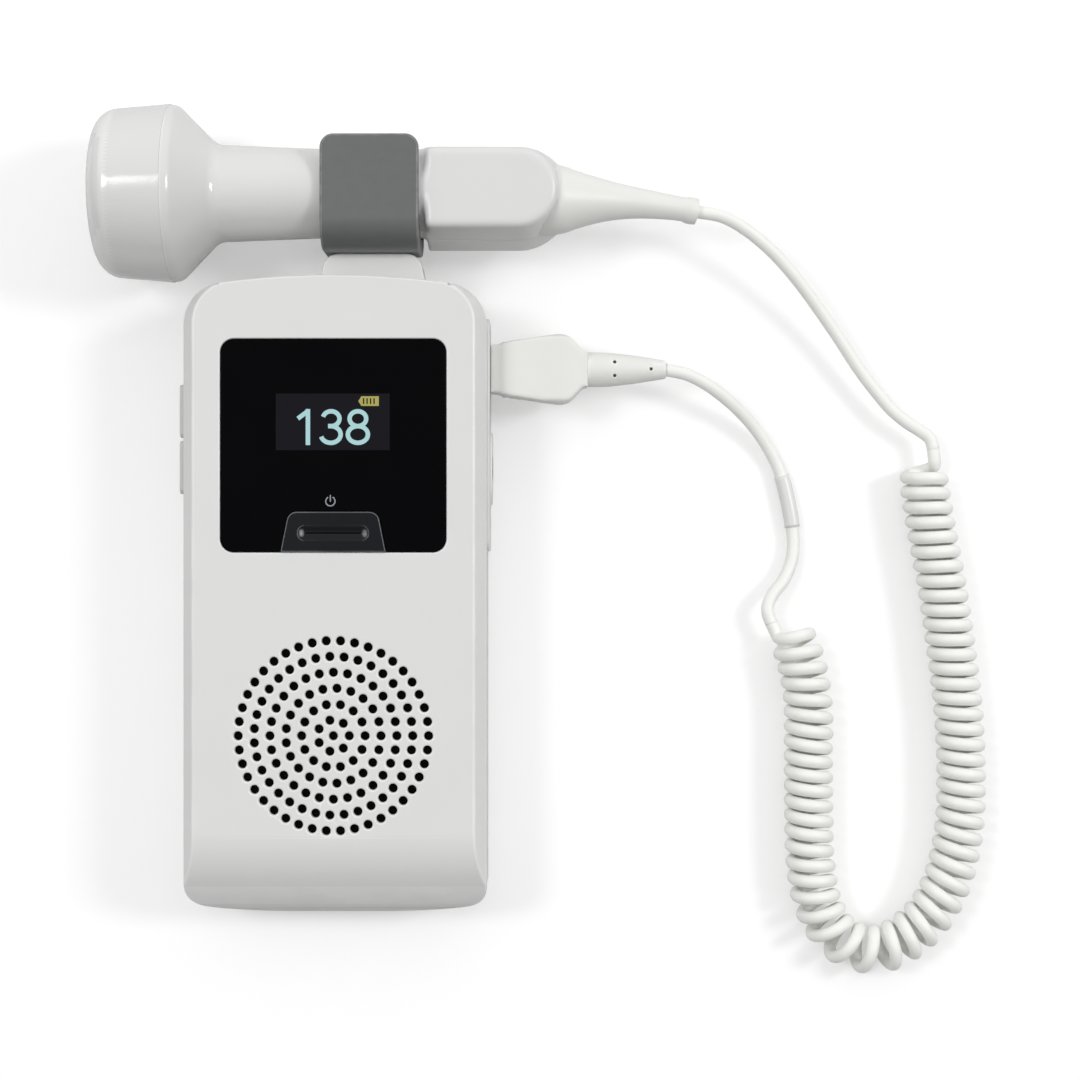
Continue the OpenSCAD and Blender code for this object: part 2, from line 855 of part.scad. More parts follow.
module contact_row(x0, x1, z0, z1) {
    for (i = [-1.5:1:1.5])
        slab(x0, x1, i * 2.4 - 0.5, i * 2.4 + 0.5, z0, z1);
}

module socket_contacts() {
    color("gold")
        translate([panel_x - socket_l, plug_y, socket_z])
            contact_row(2.4, socket_l - 2, 0.1, 0.3);
}

module earphone_socket() {
    tip = panel_x + 0.6;
    color([0.08, 0.08, 0.08])
        difference() {
            union() {
                slab(tip - jack_l - 2, half_w - 4.2, jack_y - 3.5, jack_y + 3.5,
                    socket_z - 3, socket_z + 3);
                along_x(tip - jack_l, jack_y, socket_z)
                    cylinder(h = jack_l, r = jack_collar_r, $fn = small_fn);
            }
            along_x(tip - jack_l, jack_y, socket_z)
                cylinder(h = jack_l + past, d = jack_d, $fn = small_fn);
            slab(tip - jack_l - 3, half_w - 4.2, jack_y - 4, jack_y + 4,
                socket_z + 3, socket_z + 5);
            slab(tip - jack_l - 3, half_w - 4.2, jack_y - 4, jack_y + 4,
                socket_z - 5, socket_z - 3);
        }
}

module battery_door() {
    low = door_gap;
    high = wall - 0.2;
    color("whitesmoke")
        difference() {
            door_solid(low, high);
            for (i = [0:4])
                slab(-groove_l / 2, groove_l / 2, -half_l + 9 + i * groove_step,
                    -half_l + 10 + i * groove_step, -past, low + groove_depth);
        }
}

module door_solid(low, high) {
    intersection() {
        unit_solid(door_gap);
        union() {
            slab(-door_w / 2 + slide_gap, door_w / 2 - slide_gap, -unit_l,
                bay_high_y - slide_gap, low, high);
            slab(-door_w / 2 + slide_gap, door_w / 2 - slide_gap, -unit_l,
                -half_l + wall, low, wall + rail_t + door_gap - slide_gap);
            for (s = [0, 1])
                mirror([s, 0, 0]) {
                    slab(door_w / 2 - 2, door_w / 2 - slide_gap, -half_l + wall,
                        bay_high_y - 1, high, wall + door_gap + rail_t - slide_gap);
                    slab(door_w / 2 - 2, door_w / 2 + rail_lap, -half_l + 1,
                        bay_high_y - 1, wall + slide_gap,
                        wall + door_gap + rail_t - slide_gap);
                }
        }
    }
}

module battery_pack() {
    color("slategray")
        translate([0, bay_high_y - 3 - pack_l / 2, bay_top - 0.3 - pack_t])
            rotate([90, 0, 0])
                linear_extrude(pack_l, center = true)
                    translate([0, pack_t / 2])
                        round_rect(pack_w, pack_t, 2.5);
}

// Three spring contacts on the bay's end wall, each pressed on the pack
module battery_contacts() {
    y = bay_high_y;
    z = bay_top - 0.3 - pack_t / 2;
    color("gold")
        for (i = [-1:1]) {
            slab(i * 8 - 1.5, i * 8 + 1.5, y - 0.4, y, z - 3, z + 3);
            slab(i * 8 - 1.5, i * 8 + 1.5, y - 2.6, y - 0.4, z + 2.6, z + 3);
            slab(i * 8 - 1.5, i * 8 + 1.5, y - 3, y - 2.6, z - 2, z + 3);
        }
}

module case_screws() {
    color("silver")
        for (s = [-1, 1], y = screw_y)
            translate([s * screw_x, y, screw_sink - screw_head_h])
                difference() {
                    union() {
                        cylinder(h = screw_head_h, r = screw_head_r, $fn = small_fn);
                        cylinder(h = case_screw_l, r = screw_r, $fn = small_fn);
                    }
                    for (a = [0, 90])
                        rotate(a)
                            slab(-1.5, 1.5, -0.3, 0.3, -past, 0.8);
                }
}

// White lug that carries the clip. A neck goes through the wall and a flange
// behind it is held between the covers
module holder_mount() {
    color("whitesmoke")
        difference() {
            union() {
                difference() {
                    translate([clip_x, 0, lug_z - lug_h / 2])
                        linear_extrude(lug_h)
                            polygon(concat(
                                [[lug_w / 2, half_l - 3]],
                                arc([lug_top_w / 2, clip_y - lug_r], lug_r, 0, 90, 8),
                                arc([-lug_top_w / 2, clip_y - lug_r], lug_r, 90, 180, 8),
                                [[-lug_w / 2, half_l - 3]]
                            ));
                    translate([0, 0, -past])
                        linear_extrude(unit_t)
                            polygon(unit_outline(-seat_gap));
                }
                slab(clip_x - neck_w / 2, clip_x + neck_w / 2, half_l - wall - 2.8,
                    half_l + 1, lug_z - neck_h / 2, lug_z + neck_h / 2);
                slab(clip_x - neck_w / 2 - 1, clip_x + neck_w / 2 + 1, half_l - wall - 2.8,
                    half_l - wall - 1.3, lug_z - neck_h / 2 - 1, lug_z + neck_h / 2 + 1);
            }
            for (s = [-1, 1])
                translate([clip_x + s * clip_screw_x, half_l - 2, lug_z + 1])
                    rotate([-90, 0, 0])
                        cylinder(h = lug_l + 3, r = 1.1 + screw_gap, $fn = small_fn);
        }
}

// U of one width, open away from the unit
module probe_clip() {
    color([0.4, 0.41, 0.41])
        difference() {
            intersection() {
                translate([clip_x, 0, 0])
                    rotate([90, 0, 90])
                        linear_extrude(clip_w, center = true)
                            difference() {
                                translate([clip_y, probe_z - clip_half])
                                    square([probe_y + jaw_reach - clip_y, 2 * clip_half]);
                                for (s = [-1, 1])
                                    corner_cut([clip_y, probe_z + s * clip_half], [-1, s], 8);
                                translate([probe_y, probe_z])
                                    circle(jaw_gap, $fn = round_fn);
                                translate([probe_y, probe_z - jaw_gap])
                                    square([jaw_reach + past, 2 * jaw_gap]);
                            }
                translate([clip_x, probe_y, probe_z - clip_half - past])
                    linear_extrude(2 * clip_half + 2 * past)
                        difference() {
                            translate([-clip_w / 2 - past, clip_y - probe_y - past])
                                square([clip_w + 2 * past, jaw_reach + probe_y - clip_y + 2 * past]);
                            for (s = [-1, 1])
                                corner_cut([s * clip_w / 2, jaw_reach], [s, 1], 3.5);
                        }
            }
            for (s = [-1, 1])
                translate([clip_x + s * clip_screw_x, clip_y - past, lug_z + 1])
                    rotate([-90, 0, 0]) {
                        cylinder(h = 10, r = 1.1 + screw_gap, $fn = small_fn);
                        translate([0, 0, past + clip_root_t - 1.8])
                            cylinder(h = 6, r = 2.3, $fn = small_fn);
                    }
        }
}

module clip_screws() {
    color("silver")
        for (s = [-1, 1])
            translate([clip_x + s * clip_screw_x, clip_y + clip_root_t - 1.8, lug_z + 1])
                rotate([90, 0, 0]) {
                    translate([0, 0, -1.5])
                        cylinder(h = 1.5, r = 2.2, $fn = small_fn);
                    translate([0, 0, -0.5])
                        cylinder(h = 8.5, r = 1.1, $fn = small_fn);
                }
}

// Turned solids of the probe, drawn as radius by place along the axis
module on_probe_axis() {
    along_x(0, probe_y, probe_z)
        children();
}

module probe_cap() {
    edge_y = face_x + cap_edge_r;
    color("whitesmoke")
        on_probe_axis()
            rotate_extrude($fn = round_fn)
                polygon(concat(
                    [[head_r - probe_wall, seam_x], [head_r, seam_x]],
                    arc([face_r, edge_y], cap_edge_r, 0, -90, 8),
                    [
                        [0, face_x - 0.3], [0, face_x + 2.5], [face_r, face_x + 2.5],
                        [head_r - cap_taper - probe_wall, edge_y + 1]
                    ]
                ));
}

// Fillet that spreads the neck into the grip, drawn in by g
function flare(g) = concat(
    arc([probe_r + flare_r, flare_x], flare_r + g, 180, 90, 6),
    [[grip_w, flare_x + flare_r + g], [grip_w, grip_end_x + grip_w], [0, grip_end_x + grip_w]]
);

// Outer form of head cone, neck and grip
module handle_solid() {
    intersection() {
        on_probe_axis()
            rotate_extrude($fn = round_fn)
                polygon(concat(
                    [[0, seam_x], [head_r - 0.2, seam_x]],
                    arc([head_r - 0.2 - head_edge_r, seam_x + 0.5], head_edge_r, 0, 50, 10),
                    arc([neck_big_d / 2 + 5.2, seam_x + 14.2], 5.2, 230, 180, 8),
                    [[probe_r, clip_x - clip_w / 2]],
                    flare(0)
                ));
        grip_solid(0);
    }
}

// The grip: a flat pad on top, sides that spread, a narrower foot and a round end.
// A drum round the head and the neck goes with it
module grip_solid(g) {
    top = pad_up - g;
    foot = -grip_down + g;
    wide = grip_w / 2 - g;
    pad = pad_w / 2 - g;
    under = grip_foot_w / 2 - g;
    on_probe_axis()
        translate([0, 0, seam_x - 2 * past])
            cylinder(h = flare_x - seam_x, r = head_r + past, $fn = round_fn);
    translate([0, probe_y, probe_z]) {
        translate([flare_x - 4, 0, 0])
            rotate([90, 0, 90])
                linear_extrude(grip_end_x - flare_x + 4)
                    polygon([
                        [pad, top], [-pad, top], [-wide, -grip_wide_down],
                        [-under, foot], [under, foot], [wide, -grip_wide_down]
                    ]);
        translate([grip_end_x, 0, -grip_wide_down])
            cylinder(h = top + grip_wide_down, r1 = wide, r2 = pad, $fn = round_fn);
        translate([grip_end_x, 0, foot])
            cylinder(h = -grip_wide_down - foot, r1 = under, r2 = wide, $fn = round_fn);
    }
}

module handle_room() {
    intersection() {
        on_probe_axis()
            rotate_extrude($fn = round_fn)
                polygon(concat(
                    [
                        [0, seam_x - past], [head_r - probe_wall, seam_x - past],
                        [head_r - probe_wall, seam_x + 1.2],
                        [neck_big_d / 2 - 1, seam_x + 11],
                        [probe_r - probe_wall, seam_x + 16]
                    ],
                    flare(probe_wall)
                ));
        grip_solid(probe_wall);
    }
}

module handle_shell() {
    difference() {
        handle_solid();
        handle_room();
        on_probe_axis()
            translate([0, -relief_drop, relief_root_x - seat_gap])
                cylinder(h = 30, r = relief_root_r + seat_gap, $fn = round_fn);
    }
}

module probe_half(z0, z1) {
    slab(seam_x - past, grip_end_x + grip_w, probe_y - grip_w, probe_y + grip_w,
        probe_z + z0, probe_z + z1);
}

module probe_upper_shell() {
    color("whitesmoke")
        intersection() {
            handle_shell();
            probe_half(0, head_d);
        }
}

module probe_lower_shell() {
    color("whitesmoke") {
        intersection() {
            handle_shell();
            probe_half(-head_d, 0);
        }
        for (x = [grip_x + 7, grip_end_x - 4])
            slab(x, x + 1.6, probe_y - 4, probe_y + 4,
                probe_z - grip_down + probe_wall / 2, probe_z - 4);
    }
}

module crystal_discs() {
    ring_r = (face_r - 1) / 1.46;
    color("goldenrod")
        on_probe_axis()
            translate([0, 0, face_x + 2.5]) {
                cylinder(h = disc_t, r = 0.46 * ring_r, $fn = small_fn);
                for (a = [0:60:300])
                    rotate(a)
                        translate([ring_r, 0, 0])
                            cylinder(h = disc_t, r = 0.46 * ring_r, $fn = small_fn);
            }
}

module crystal_backing() {
    color("darkgray")
        on_probe_axis()
            translate([0, 0, face_x + 2.5 + disc_t])
                cylinder(h = backing_t, r = face_r - 0.6, $fn = round_fn);
}

module probe_seal() {
    color([0.15, 0.15, 0.15])
        on_probe_axis()
            translate([0, 0, seam_x - 1.2])
                difference() {
                    cylinder(h = 2.2, r = head_r - probe_wall - 2 * seat_gap, $fn = round_fn);
                    translate([0, 0, -past])
                        cylinder(h = 5, r = head_r - probe_wall - 2.2, $fn = round_fn);
                }
}

module probe_board() {
    color("darkgreen")
        slab(grip_x + 1, grip_end_x - 1, probe_y - 7, probe_y + 7, probe_z - 4, probe_z - 2.8);
}

// One ring of a tube: n points away from the middle, and t along the tube
function ring(c, t, n, r, sides) = let (b = cross(t, n))
    [for (k = [0:sides - 1]) c + r * (cos(360 * k / sides) * n + sin(360 * k / sides) * b)];

// Closed skin over a row of rings of equal count
module skin(rings) {
    s = len(rings[0]);
    n = len(rings);
    points = [for (r = rings) each r];
    sides = [for (j = [0:n - 2], k = [0:s - 1])
        let (a = j * s + k, b = j * s + (k + 1) % s)
            each [[a, a + s, b + s], [a, b + s, b]]];
    caps = [for (k = [1:s - 2])
        each [[0, k, k + 1], [(n - 1) * s, (n - 1) * s + k + 1, (n - 1) * s + k]]];
    polyhedron(points, concat(sides, caps));
}

// Direction at each point of a route. The ends take the directions given
function route_dirs(p, first, last) = [for (i = [0:len(p) - 1])
    i == 0 ? first : i == len(p) - 1 ? last
        : unit_vector(unit_vector(p[i] - p[i - 1]) + unit_vector(p[i + 1] - p[i]))];

// Rings of a tube that lies flat enough to take its sides from the vertical
function lead_rings(p, first, last, r) = let (d = route_dirs(p, first, last))
    [for (i = [0:len(p) - 1])
        ring(p[i], d[i], unit_vector(cross([0, 0, 1], d[i])), is_list(r) ? r[i] : r,
            is_list(r) ? 24 : lead_sides)];

relief_points = [for (q = relief_route) [q[0], q[1], q[2]]];
relief_radii = [for (q = relief_route) q[3]];

module probe_relief() {
    color([0.93, 0.93, 0.9])
        skin(lead_rings(relief_points, [1, 0, 0], relief_dir, relief_radii));
}

// The curls' axis as tables of place and heading by length
function curve_point(p, u) = let (
    n = len(p) - 1,
    i = min(floor(u), n - 1),
    f = u - i,
    a = p[max(i - 1, 0)],
    b = p[i],
    c = p[i + 1],
    d = p[min(i + 2, n)]
) (2 * b + (c - a) * f + (2 * a - 5 * b + 4 * c - d) * f * f
    + (3 * b - a - 3 * c + d) * f * f * f) / 2;

axis_steps = 12;
axis_points = [for (i = [0:axis_steps * (len(curl_axis) - 1)])
    curve_point(curl_axis, i / axis_steps)];
axis_marks = [for (i = 0, s = 0; i < len(axis_points);
    i = i + 1, s = s + (i < len(axis_points) ? norm(axis_points[i] - axis_points[i - 1]) : 0)) s];
axis_l = axis_marks[len(axis_marks) - 1];
axis_x = [for (i = [0:len(axis_points) - 1]) [axis_marks[i], axis_points[i].x]];
axis_y = [for (i = [0:len(axis_points) - 1]) [axis_marks[i], axis_points[i].y]];
axis_turn = [for (i = [0:len(axis_points) - 2])
    let (v = axis_points[i + 1] - axis_points[i], a = atan2(v.y, v.x))
        [(axis_marks[i] + axis_marks[i + 1]) / 2, a > 0 ? a - 360 : a]];

function heading(s) = lookup(s, axis_turn);
function bend(s) = let (a = max(s - 2.5, 0), b = min(s + 2.5, axis_l))
    (heading(a) - heading(b)) * PI / 180 / (b - a);

// The cord runs straight for its own diameter at both ends, then takes up its curl
ramp_l = 2.6;
function ease(f) = let (c = max(0, min(1, f))) c * c * (3 - 2 * c);
function curl_share(s) = (1 - abs(bend(s)) * curl_r) * ease((s - cord_d) / ramp_l)
    * ease((axis_l - s - cord_d) / ramp_l);
share_step = 0.25;
curl_pitch = total([for (s = [share_step / 2:share_step:axis_l]) curl_share(s)])
    * share_step / curl_count;
function curl_rate(s) = 360 * curl_share(s) / curl_pitch;
ring_l = 2 * PI * curl_r / curl_rings;
function ring_advance(s) = ring_l / sqrt(1 + pow(curl_r * curl_rate(s) * PI / 180, 2));

curl_marks = concat(
    [for (s = 0, a = 0, d = cord_d; s < axis_l - cord_d;
        a = a + curl_rate(s + d / 2) * d, s = s + d, d = ring_advance(s)) [s, a]],
    [[axis_l - cord_d, 360 * curl_count], [axis_l, 360 * curl_count]]
);
turn_error = curl_marks[len(curl_marks) - 3][1] / (360 * curl_count);

// Place on the cord: left-handed about the axis, starting on the outside of the bend
function curl_out(s) = [-sin(heading(s)), cos(heading(s)), 0];
function curl_spoke(s, a) = cos(a) * curl_out(s) - [0, 0, sin(a)];
function curl_reach(s) = curl_end_r + (curl_r - curl_end_r)
    * ease((min(s, axis_l - s) - cord_d) / (2 * ramp_l));
function curl_point(s, a) = [lookup(s, axis_x), lookup(s, axis_y), curl_z]
    + curl_reach(s) * curl_spoke(s, a);
function curl_dir(s) = [cos(heading(s)), sin(heading(s)), 0];
curl_points = [for (m = curl_marks) curl_point(m[0], m[1])];
curl_start_dir = curl_dir(0);
curl_end_dir = curl_dir(axis_l);

function curl_ring(i) = let (
    n = len(curl_points) - 1,
    t = i == 0 ? curl_start_dir : i >= n - 1 ? curl_end_dir : unit_vector(
        unit_vector(curl_points[i] - curl_points[i - 1])
        + unit_vector(curl_points[i + 1] - curl_points[i])),
    spoke = curl_spoke(curl_marks[i][0], curl_marks[i][1])
) ring(curl_points[i], t, unit_vector(spoke - (spoke * t) * t), cord_d / 2, curl_sides);

function segment_distance(p, a, b) = let (
    v = b - a,
    f = max(0, min(1, ((p - a) * v) / (v * v)))
) norm(p - a - f * v);
curl_gap = min([for (i = [0:len(curl_points) - 7], j = [i + 5:min(i + 12, len(curl_points) - 2)])
    segment_distance(curl_points[i], curl_points[j], curl_points[j + 1])]) - cord_d;
echo(curl_pitch = curl_pitch, least_gap_between_curls = curl_gap, rings = len(curl_points),
    turns = turn_error * curl_count, axis_length = axis_l);

module curly_cord() {
    color([0.93, 0.93, 0.9])
        skin([for (i = [0:len(curl_points) - 1]) curl_ring(i)]);
}

probe_lead_points = concat(
    [relief_points[len(relief_points) - 1]],
    probe_lead_route,
    [curl_points[0]]
);

module probe_lead() {
    color([0.93, 0.93, 0.9])
        skin(lead_rings(probe_lead_points, relief_dir, curl_start_dir, cord_d / 2));
}

plug_lead_points = concat(
    [[relief_end_x, plug_y, socket_z]],
    plug_lead_route,
    [curl_points[len(curl_points) - 1]]
);
plug_lead_rings = lead_rings(plug_lead_points, [1, 0, 0], -curl_end_dir, cord_d / 2);

module plug_lead() {
    color([0.93, 0.93, 0.9])
        skin(plug_lead_rings);
}

// Thin sleeve whose bore follows the lead's own rings
module cord_sleeve() {
    inner = [for (i = [sleeve_first:sleeve_last])
        lead_rings(plug_lead_points, [1, 0, 0], -curl_end_dir, cord_d / 2 + 0.05)[i]];
    outer = [for (i = [sleeve_first:sleeve_last])
        lead_rings(plug_lead_points, [1, 0, 0], -curl_end_dir,
            cord_d / 2 + 0.05 + sleeve_t)[i]];
    n = len(outer);
    s = lead_sides;
    points = concat([for (r = outer) each r], [for (r = inner) each r]);
    walls = [for (j = [0:n - 2], k = [0:s - 1])
        let (a = j * s + k, b = j * s + (k + 1) % s, c = n * s)
            each [[a, a + s, b + s], [a, b + s, b],
                [c + a, c + b + s, c + a + s], [c + a, c + b, c + b + s]]];
    ends = [for (k = [0:s - 1])
        let (a = k, b = (k + 1) % s, c = n * s, e = (n - 1) * s)
            each [[a, b, c + b], [a, c + b, c + a],
                [e + a, c + e + b, e + b], [e + a, c + e + a, c + e + b]]];
    color("white")
        polyhedron(points, concat(walls, ends));
}

module plug_relief() {
    color([0.93, 0.93, 0.9])
        difference() {
            along_x(plug_end_x - 6, plug_y, socket_z)
                rotate_extrude($fn = round_fn)
                    polygon([
                        [0, 0], [3.2, 0], [3.2, 6], [4.7, 6], [4.5, 12], [3.9, 6 + relief_l * 0.55],
                        [3.1, 6 + relief_l * 0.8], [2.5, 6 + relief_l - 0.4],
                        [2.2, 6 + relief_l], [0, 6 + relief_l]
                    ]);
            for (p = [[7.2, 1.8], [7.2, -1.8], [16.9, 0]])
                translate([plug_end_x + p[0], plug_y + p[1], socket_z])
                    cylinder(h = 8, d = 0.9, $fn = small_fn);
        }
}

// Moulded grip: a narrow collar at the socket, a flare and a shoulder, and three
// short ribs on each side
module plug_grip() {
    w0 = plug_w / 2 + 0.2;
    w1 = plug_max_w / 2 + plug_edge;
    flare_l = plug_l - 10.7;
    color([0.94, 0.94, 0.91])
        difference() {
            union() {
                grip_form(w0, w1);
                for (s = [-1, 1], x = [3.4, 5.4, 7.4])
                    translate([plug_x + x, plug_y + s * (w0 + (w1 - w0) * (x - 2.8) / flare_l),
                            socket_z])
                        cylinder(h = plug_t - 4, r = rib_r, center = true, $fn = small_fn);
            }
            slab(plug_x - past, plug_x + 12, plug_y - shell_w / 2 - screw_gap,
                plug_y + shell_w / 2 + screw_gap, socket_z - shell_h / 2 - screw_gap,
                socket_z + shell_h / 2 + screw_gap);
            along_x(plug_end_x - 6 - screw_gap, plug_y, socket_z)
                cylinder(h = 10, r = 3.2 + screw_gap, $fn = round_fn);
        }
}

module grip_form(w0, w1) {
    intersection() {
        translate([plug_x, plug_y, socket_z - plug_t])
            linear_extrude(2 * plug_t)
                polygon(concat(
                    [[0, -w0 + 0.5], [2.4, -w0 + 0.4], [2.8, -w0]],
                    arc([plug_l - 7.5, -w1 + 5], 5, -95, -45, 5),
                    [[plug_l - 1.2, -4.9], [plug_l, -4.7]],
                    [[plug_l, 4.7], [plug_l - 1.2, 4.9]],
                    arc([plug_l - 7.5, w1 - 5], 5, 45, 95, 5),
                    [[2.8, w0], [2.4, w0 - 0.4], [0, w0 - 0.5]]
                ));
        translate([plug_x, plug_y, socket_z])
            rotate([90, 0, 0])
                linear_extrude(2 * plug_max_w, center = true)
                    polygon([
                        [0, -plug_t / 2 + 0.7], [2.4, -plug_t / 2 + 0.6],
                        [2.8, -plug_t / 2 + 0.2], [10, -plug_t / 2],
                        [plug_l - 6, -plug_t / 2], [plug_l - 0.8, -4.7], [plug_l, -4.7],
                        [plug_l, 4.7], [plug_l - 0.8, 4.7], [plug_l - 6, plug_t / 2],
                        [10, plug_t / 2], [2.8, plug_t / 2 - 0.2],
                        [2.4, plug_t / 2 - 0.6], [0, plug_t / 2 - 0.7]
                    ]);
        translate([plug_x, plug_y, socket_z])
            rotate([90, 0, 90])
                linear_extrude(plug_l)
                    polygon([for (s = [[-1, -1], [1, -1], [1, 1], [-1, 1]])
                        each let (p = [
                            [s.x * w1, s.y * (plug_t / 2 - 2.5 * plug_edge)],
                            [s.x * (w1 - plug_edge), s.y * plug_t / 2]
                        ]) s.x * s.y > 0 ? p : [p[1], p[0]]]);
    }
}

module plug_shell() {
    color("silver")
        translate([plug_x - shell_in, plug_y, socket_z])
            difference() {
                slab(0, shell_in + 12, -shell_w / 2, shell_w / 2, -shell_h / 2, shell_h / 2);
                slab(-past, shell_in + 11, -shell_w / 2 + shell_t, shell_w / 2 - shell_t,
                    -shell_h / 2 + shell_t, shell_h / 2 - shell_t);
            }
}

module plug_insulator() {
    color([0.1, 0.1, 0.1])
        translate([plug_x - shell_in + 0.6, plug_y, socket_z])
            slab(0, shell_in + 10, -shell_w / 2 + shell_t, shell_w / 2 - shell_t,
                -shell_h / 2 + shell_t, -0.2);
}

module plug_contacts() {
    color("gold")
        translate([plug_x - shell_in + 0.6, plug_y, socket_z])
            contact_row(1, 9, -0.2, -0.05);
}

front_cover();
rear_cover();
connector_panel();
display_window();
oled_panel();
display_holder();
power_button();
power_switch();
volume_up_button();
volume_down_button();
volume_switches();
circuit_board();
board_parts();
board_screws();
speaker_frame();
speaker_cone();
speaker_magnet();
dust_cloth();
probe_socket();
socket_tongue();
socket_contacts();
earphone_socket();
battery_door();
battery_pack();
battery_contacts();
case_screws();
holder_mount();
probe_clip();
clip_screws();
probe_cap();
probe_upper_shell();
probe_lower_shell();
crystal_discs();
crystal_backing();
probe_seal();
probe_board();
probe_relief();
probe_lead();
curly_cord();
plug_lead();
cord_sleeve();
plug_relief();
plug_grip();
plug_shell();
plug_insulator();
plug_contacts();
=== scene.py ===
# %% [markdown]
# # A pocket doppler with its probe in the clip
#
# The device lies on its back on a pale table. Its housing, board and screws come from
# a CAD model as a fixed frame. This lesson gives them soft edges and real finishes,
# lights the display, and lays the curly cord between the probe and the plug. All
# sizes are in metres, so `MM` turns a size in millimetres into metres.

# %% Load the frame
import bisect
import json
import math

import bpy
import bmesh
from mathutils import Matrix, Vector


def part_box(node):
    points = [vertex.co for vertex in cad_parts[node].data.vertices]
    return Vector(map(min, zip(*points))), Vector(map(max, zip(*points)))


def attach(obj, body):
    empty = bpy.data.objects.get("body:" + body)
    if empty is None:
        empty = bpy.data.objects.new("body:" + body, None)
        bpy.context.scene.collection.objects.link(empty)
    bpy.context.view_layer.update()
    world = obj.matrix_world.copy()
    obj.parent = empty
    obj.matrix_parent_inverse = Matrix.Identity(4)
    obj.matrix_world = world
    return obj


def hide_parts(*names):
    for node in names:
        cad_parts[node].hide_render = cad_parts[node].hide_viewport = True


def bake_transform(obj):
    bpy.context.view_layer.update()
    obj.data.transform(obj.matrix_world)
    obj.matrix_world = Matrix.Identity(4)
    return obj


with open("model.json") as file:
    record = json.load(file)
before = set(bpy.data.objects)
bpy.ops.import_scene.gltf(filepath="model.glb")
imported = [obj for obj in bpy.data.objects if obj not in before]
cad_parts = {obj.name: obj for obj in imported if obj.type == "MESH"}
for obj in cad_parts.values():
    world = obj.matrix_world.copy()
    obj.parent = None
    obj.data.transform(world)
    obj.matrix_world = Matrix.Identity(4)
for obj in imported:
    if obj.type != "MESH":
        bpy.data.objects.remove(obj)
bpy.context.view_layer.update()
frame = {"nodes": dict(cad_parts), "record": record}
MM = 0.001

# %% [markdown]
# The photograph was taken from straight above, a little to the right of the device.
# From 0.6 m, a lens of 73 mm on a 36 mm sensor sees a square of about 295 mm.

# %% Camera
CAMERA_HEIGHT, SENSOR, LENS = 600, 36, 73.1
bpy.ops.object.camera_add(
    location=(53.4 * MM, 15.5 * MM, CAMERA_HEIGHT * MM), rotation=(0, 0, 0)
)
camera = bpy.context.object
camera.name = "camera"
camera.data.sensor_width = SENSOR
camera.data.lens = LENS
bpy.context.scene.camera = camera
print("the camera sees", round(CAMERA_HEIGHT * SENSOR / LENS), "mm across the table")


# %% [markdown]
# An operator works on all that is selected, so two helpers clear the selection first.
# The other two turn rows of millimetres into points in metres, and say how far a value
# has come on its way from one number to another.

# %% Helpers for selecting and measuring
def deselect():
    """Leave edit mode and select nothing."""
    if bpy.context.object and bpy.context.object.mode != "OBJECT":
        bpy.ops.object.mode_set(mode="OBJECT")
    bpy.ops.object.select_all(action="DESELECT")


def activate(obj):
    """Make one object the selected and active one."""
    deselect()
    obj.select_set(True)
    bpy.context.view_layer.objects.active = obj


def metres(points):
    """The first three numbers of each row, in millimetres, as a point in metres."""
    return [Vector(p[:3]) * MM for p in points]


def between(value, start, end):
    """How far a value is from start to end, from 0 to 1."""
    return max(0.0, min(1.0, (value - start) / (end - start)))


# %% [markdown]
# A cord is a tube of rings about its route. Its route is a smooth curve through a few
# points, and each ring is square to it. The skin also gets a UV map with the distance
# along the cord, so that a woven or ribbed jacket could follow it.

# %% Helpers for routes and tubes
UV_LENGTH = 10 * MM


def through(points, steps):
    """A smooth curve through the points, with so many steps between two of them."""
    points = [Vector(p) for p in points]
    last = len(points) - 1
    made = []
    for i in range(last):
        a, b = points[max(i - 1, 0)], points[i]
        c, d = points[i + 1], points[min(i + 2, last)]
        for k in range(steps):
            f = k / steps
            curve = 2 * b + (c - a) * f
            curve += (2 * a - 5 * b + 4 * c - d) * f * f
            curve += (3 * b - a - 3 * c + d) * f**3
            made.append(curve / 2)
    return made + [points[-1]]


def route_length(route):
    return sum((b - a).length for a, b in zip(route, route[1:]))


def directions(route, first, last):
    """The direction of travel at each point of a route; first and last may be given."""
    made = []
    for i in range(len(route)):
        before = route[max(i - 1, 0)]
        after = route[min(i + 1, len(route) - 1)]
        made.append((after - before).normalized())
    if first is not None:
        made[0] = Vector(first).normalized()
    if last is not None:
        made[-1] = Vector(last).normalized()
    return made


def carried_spokes(dirs):
    """A sideways direction for each ring, carried along the route without a twist."""
    spoke = dirs[0].cross(Vector((0, 0, 1))).normalized()
    spokes = []
    for d in dirs:
        spoke = (spoke - spoke.dot(d) * d).normalized()
        spokes.append(spoke.copy())
    return spokes


def new_piece(name, mesh):
    """An object from a finished bmesh."""
    made = bpy.data.meshes.new(name)
    mesh.to_mesh(made)
    mesh.free()
    obj = bpy.data.objects.new(name, made)
    bpy.context.scene.collection.objects.link(obj)
    return obj


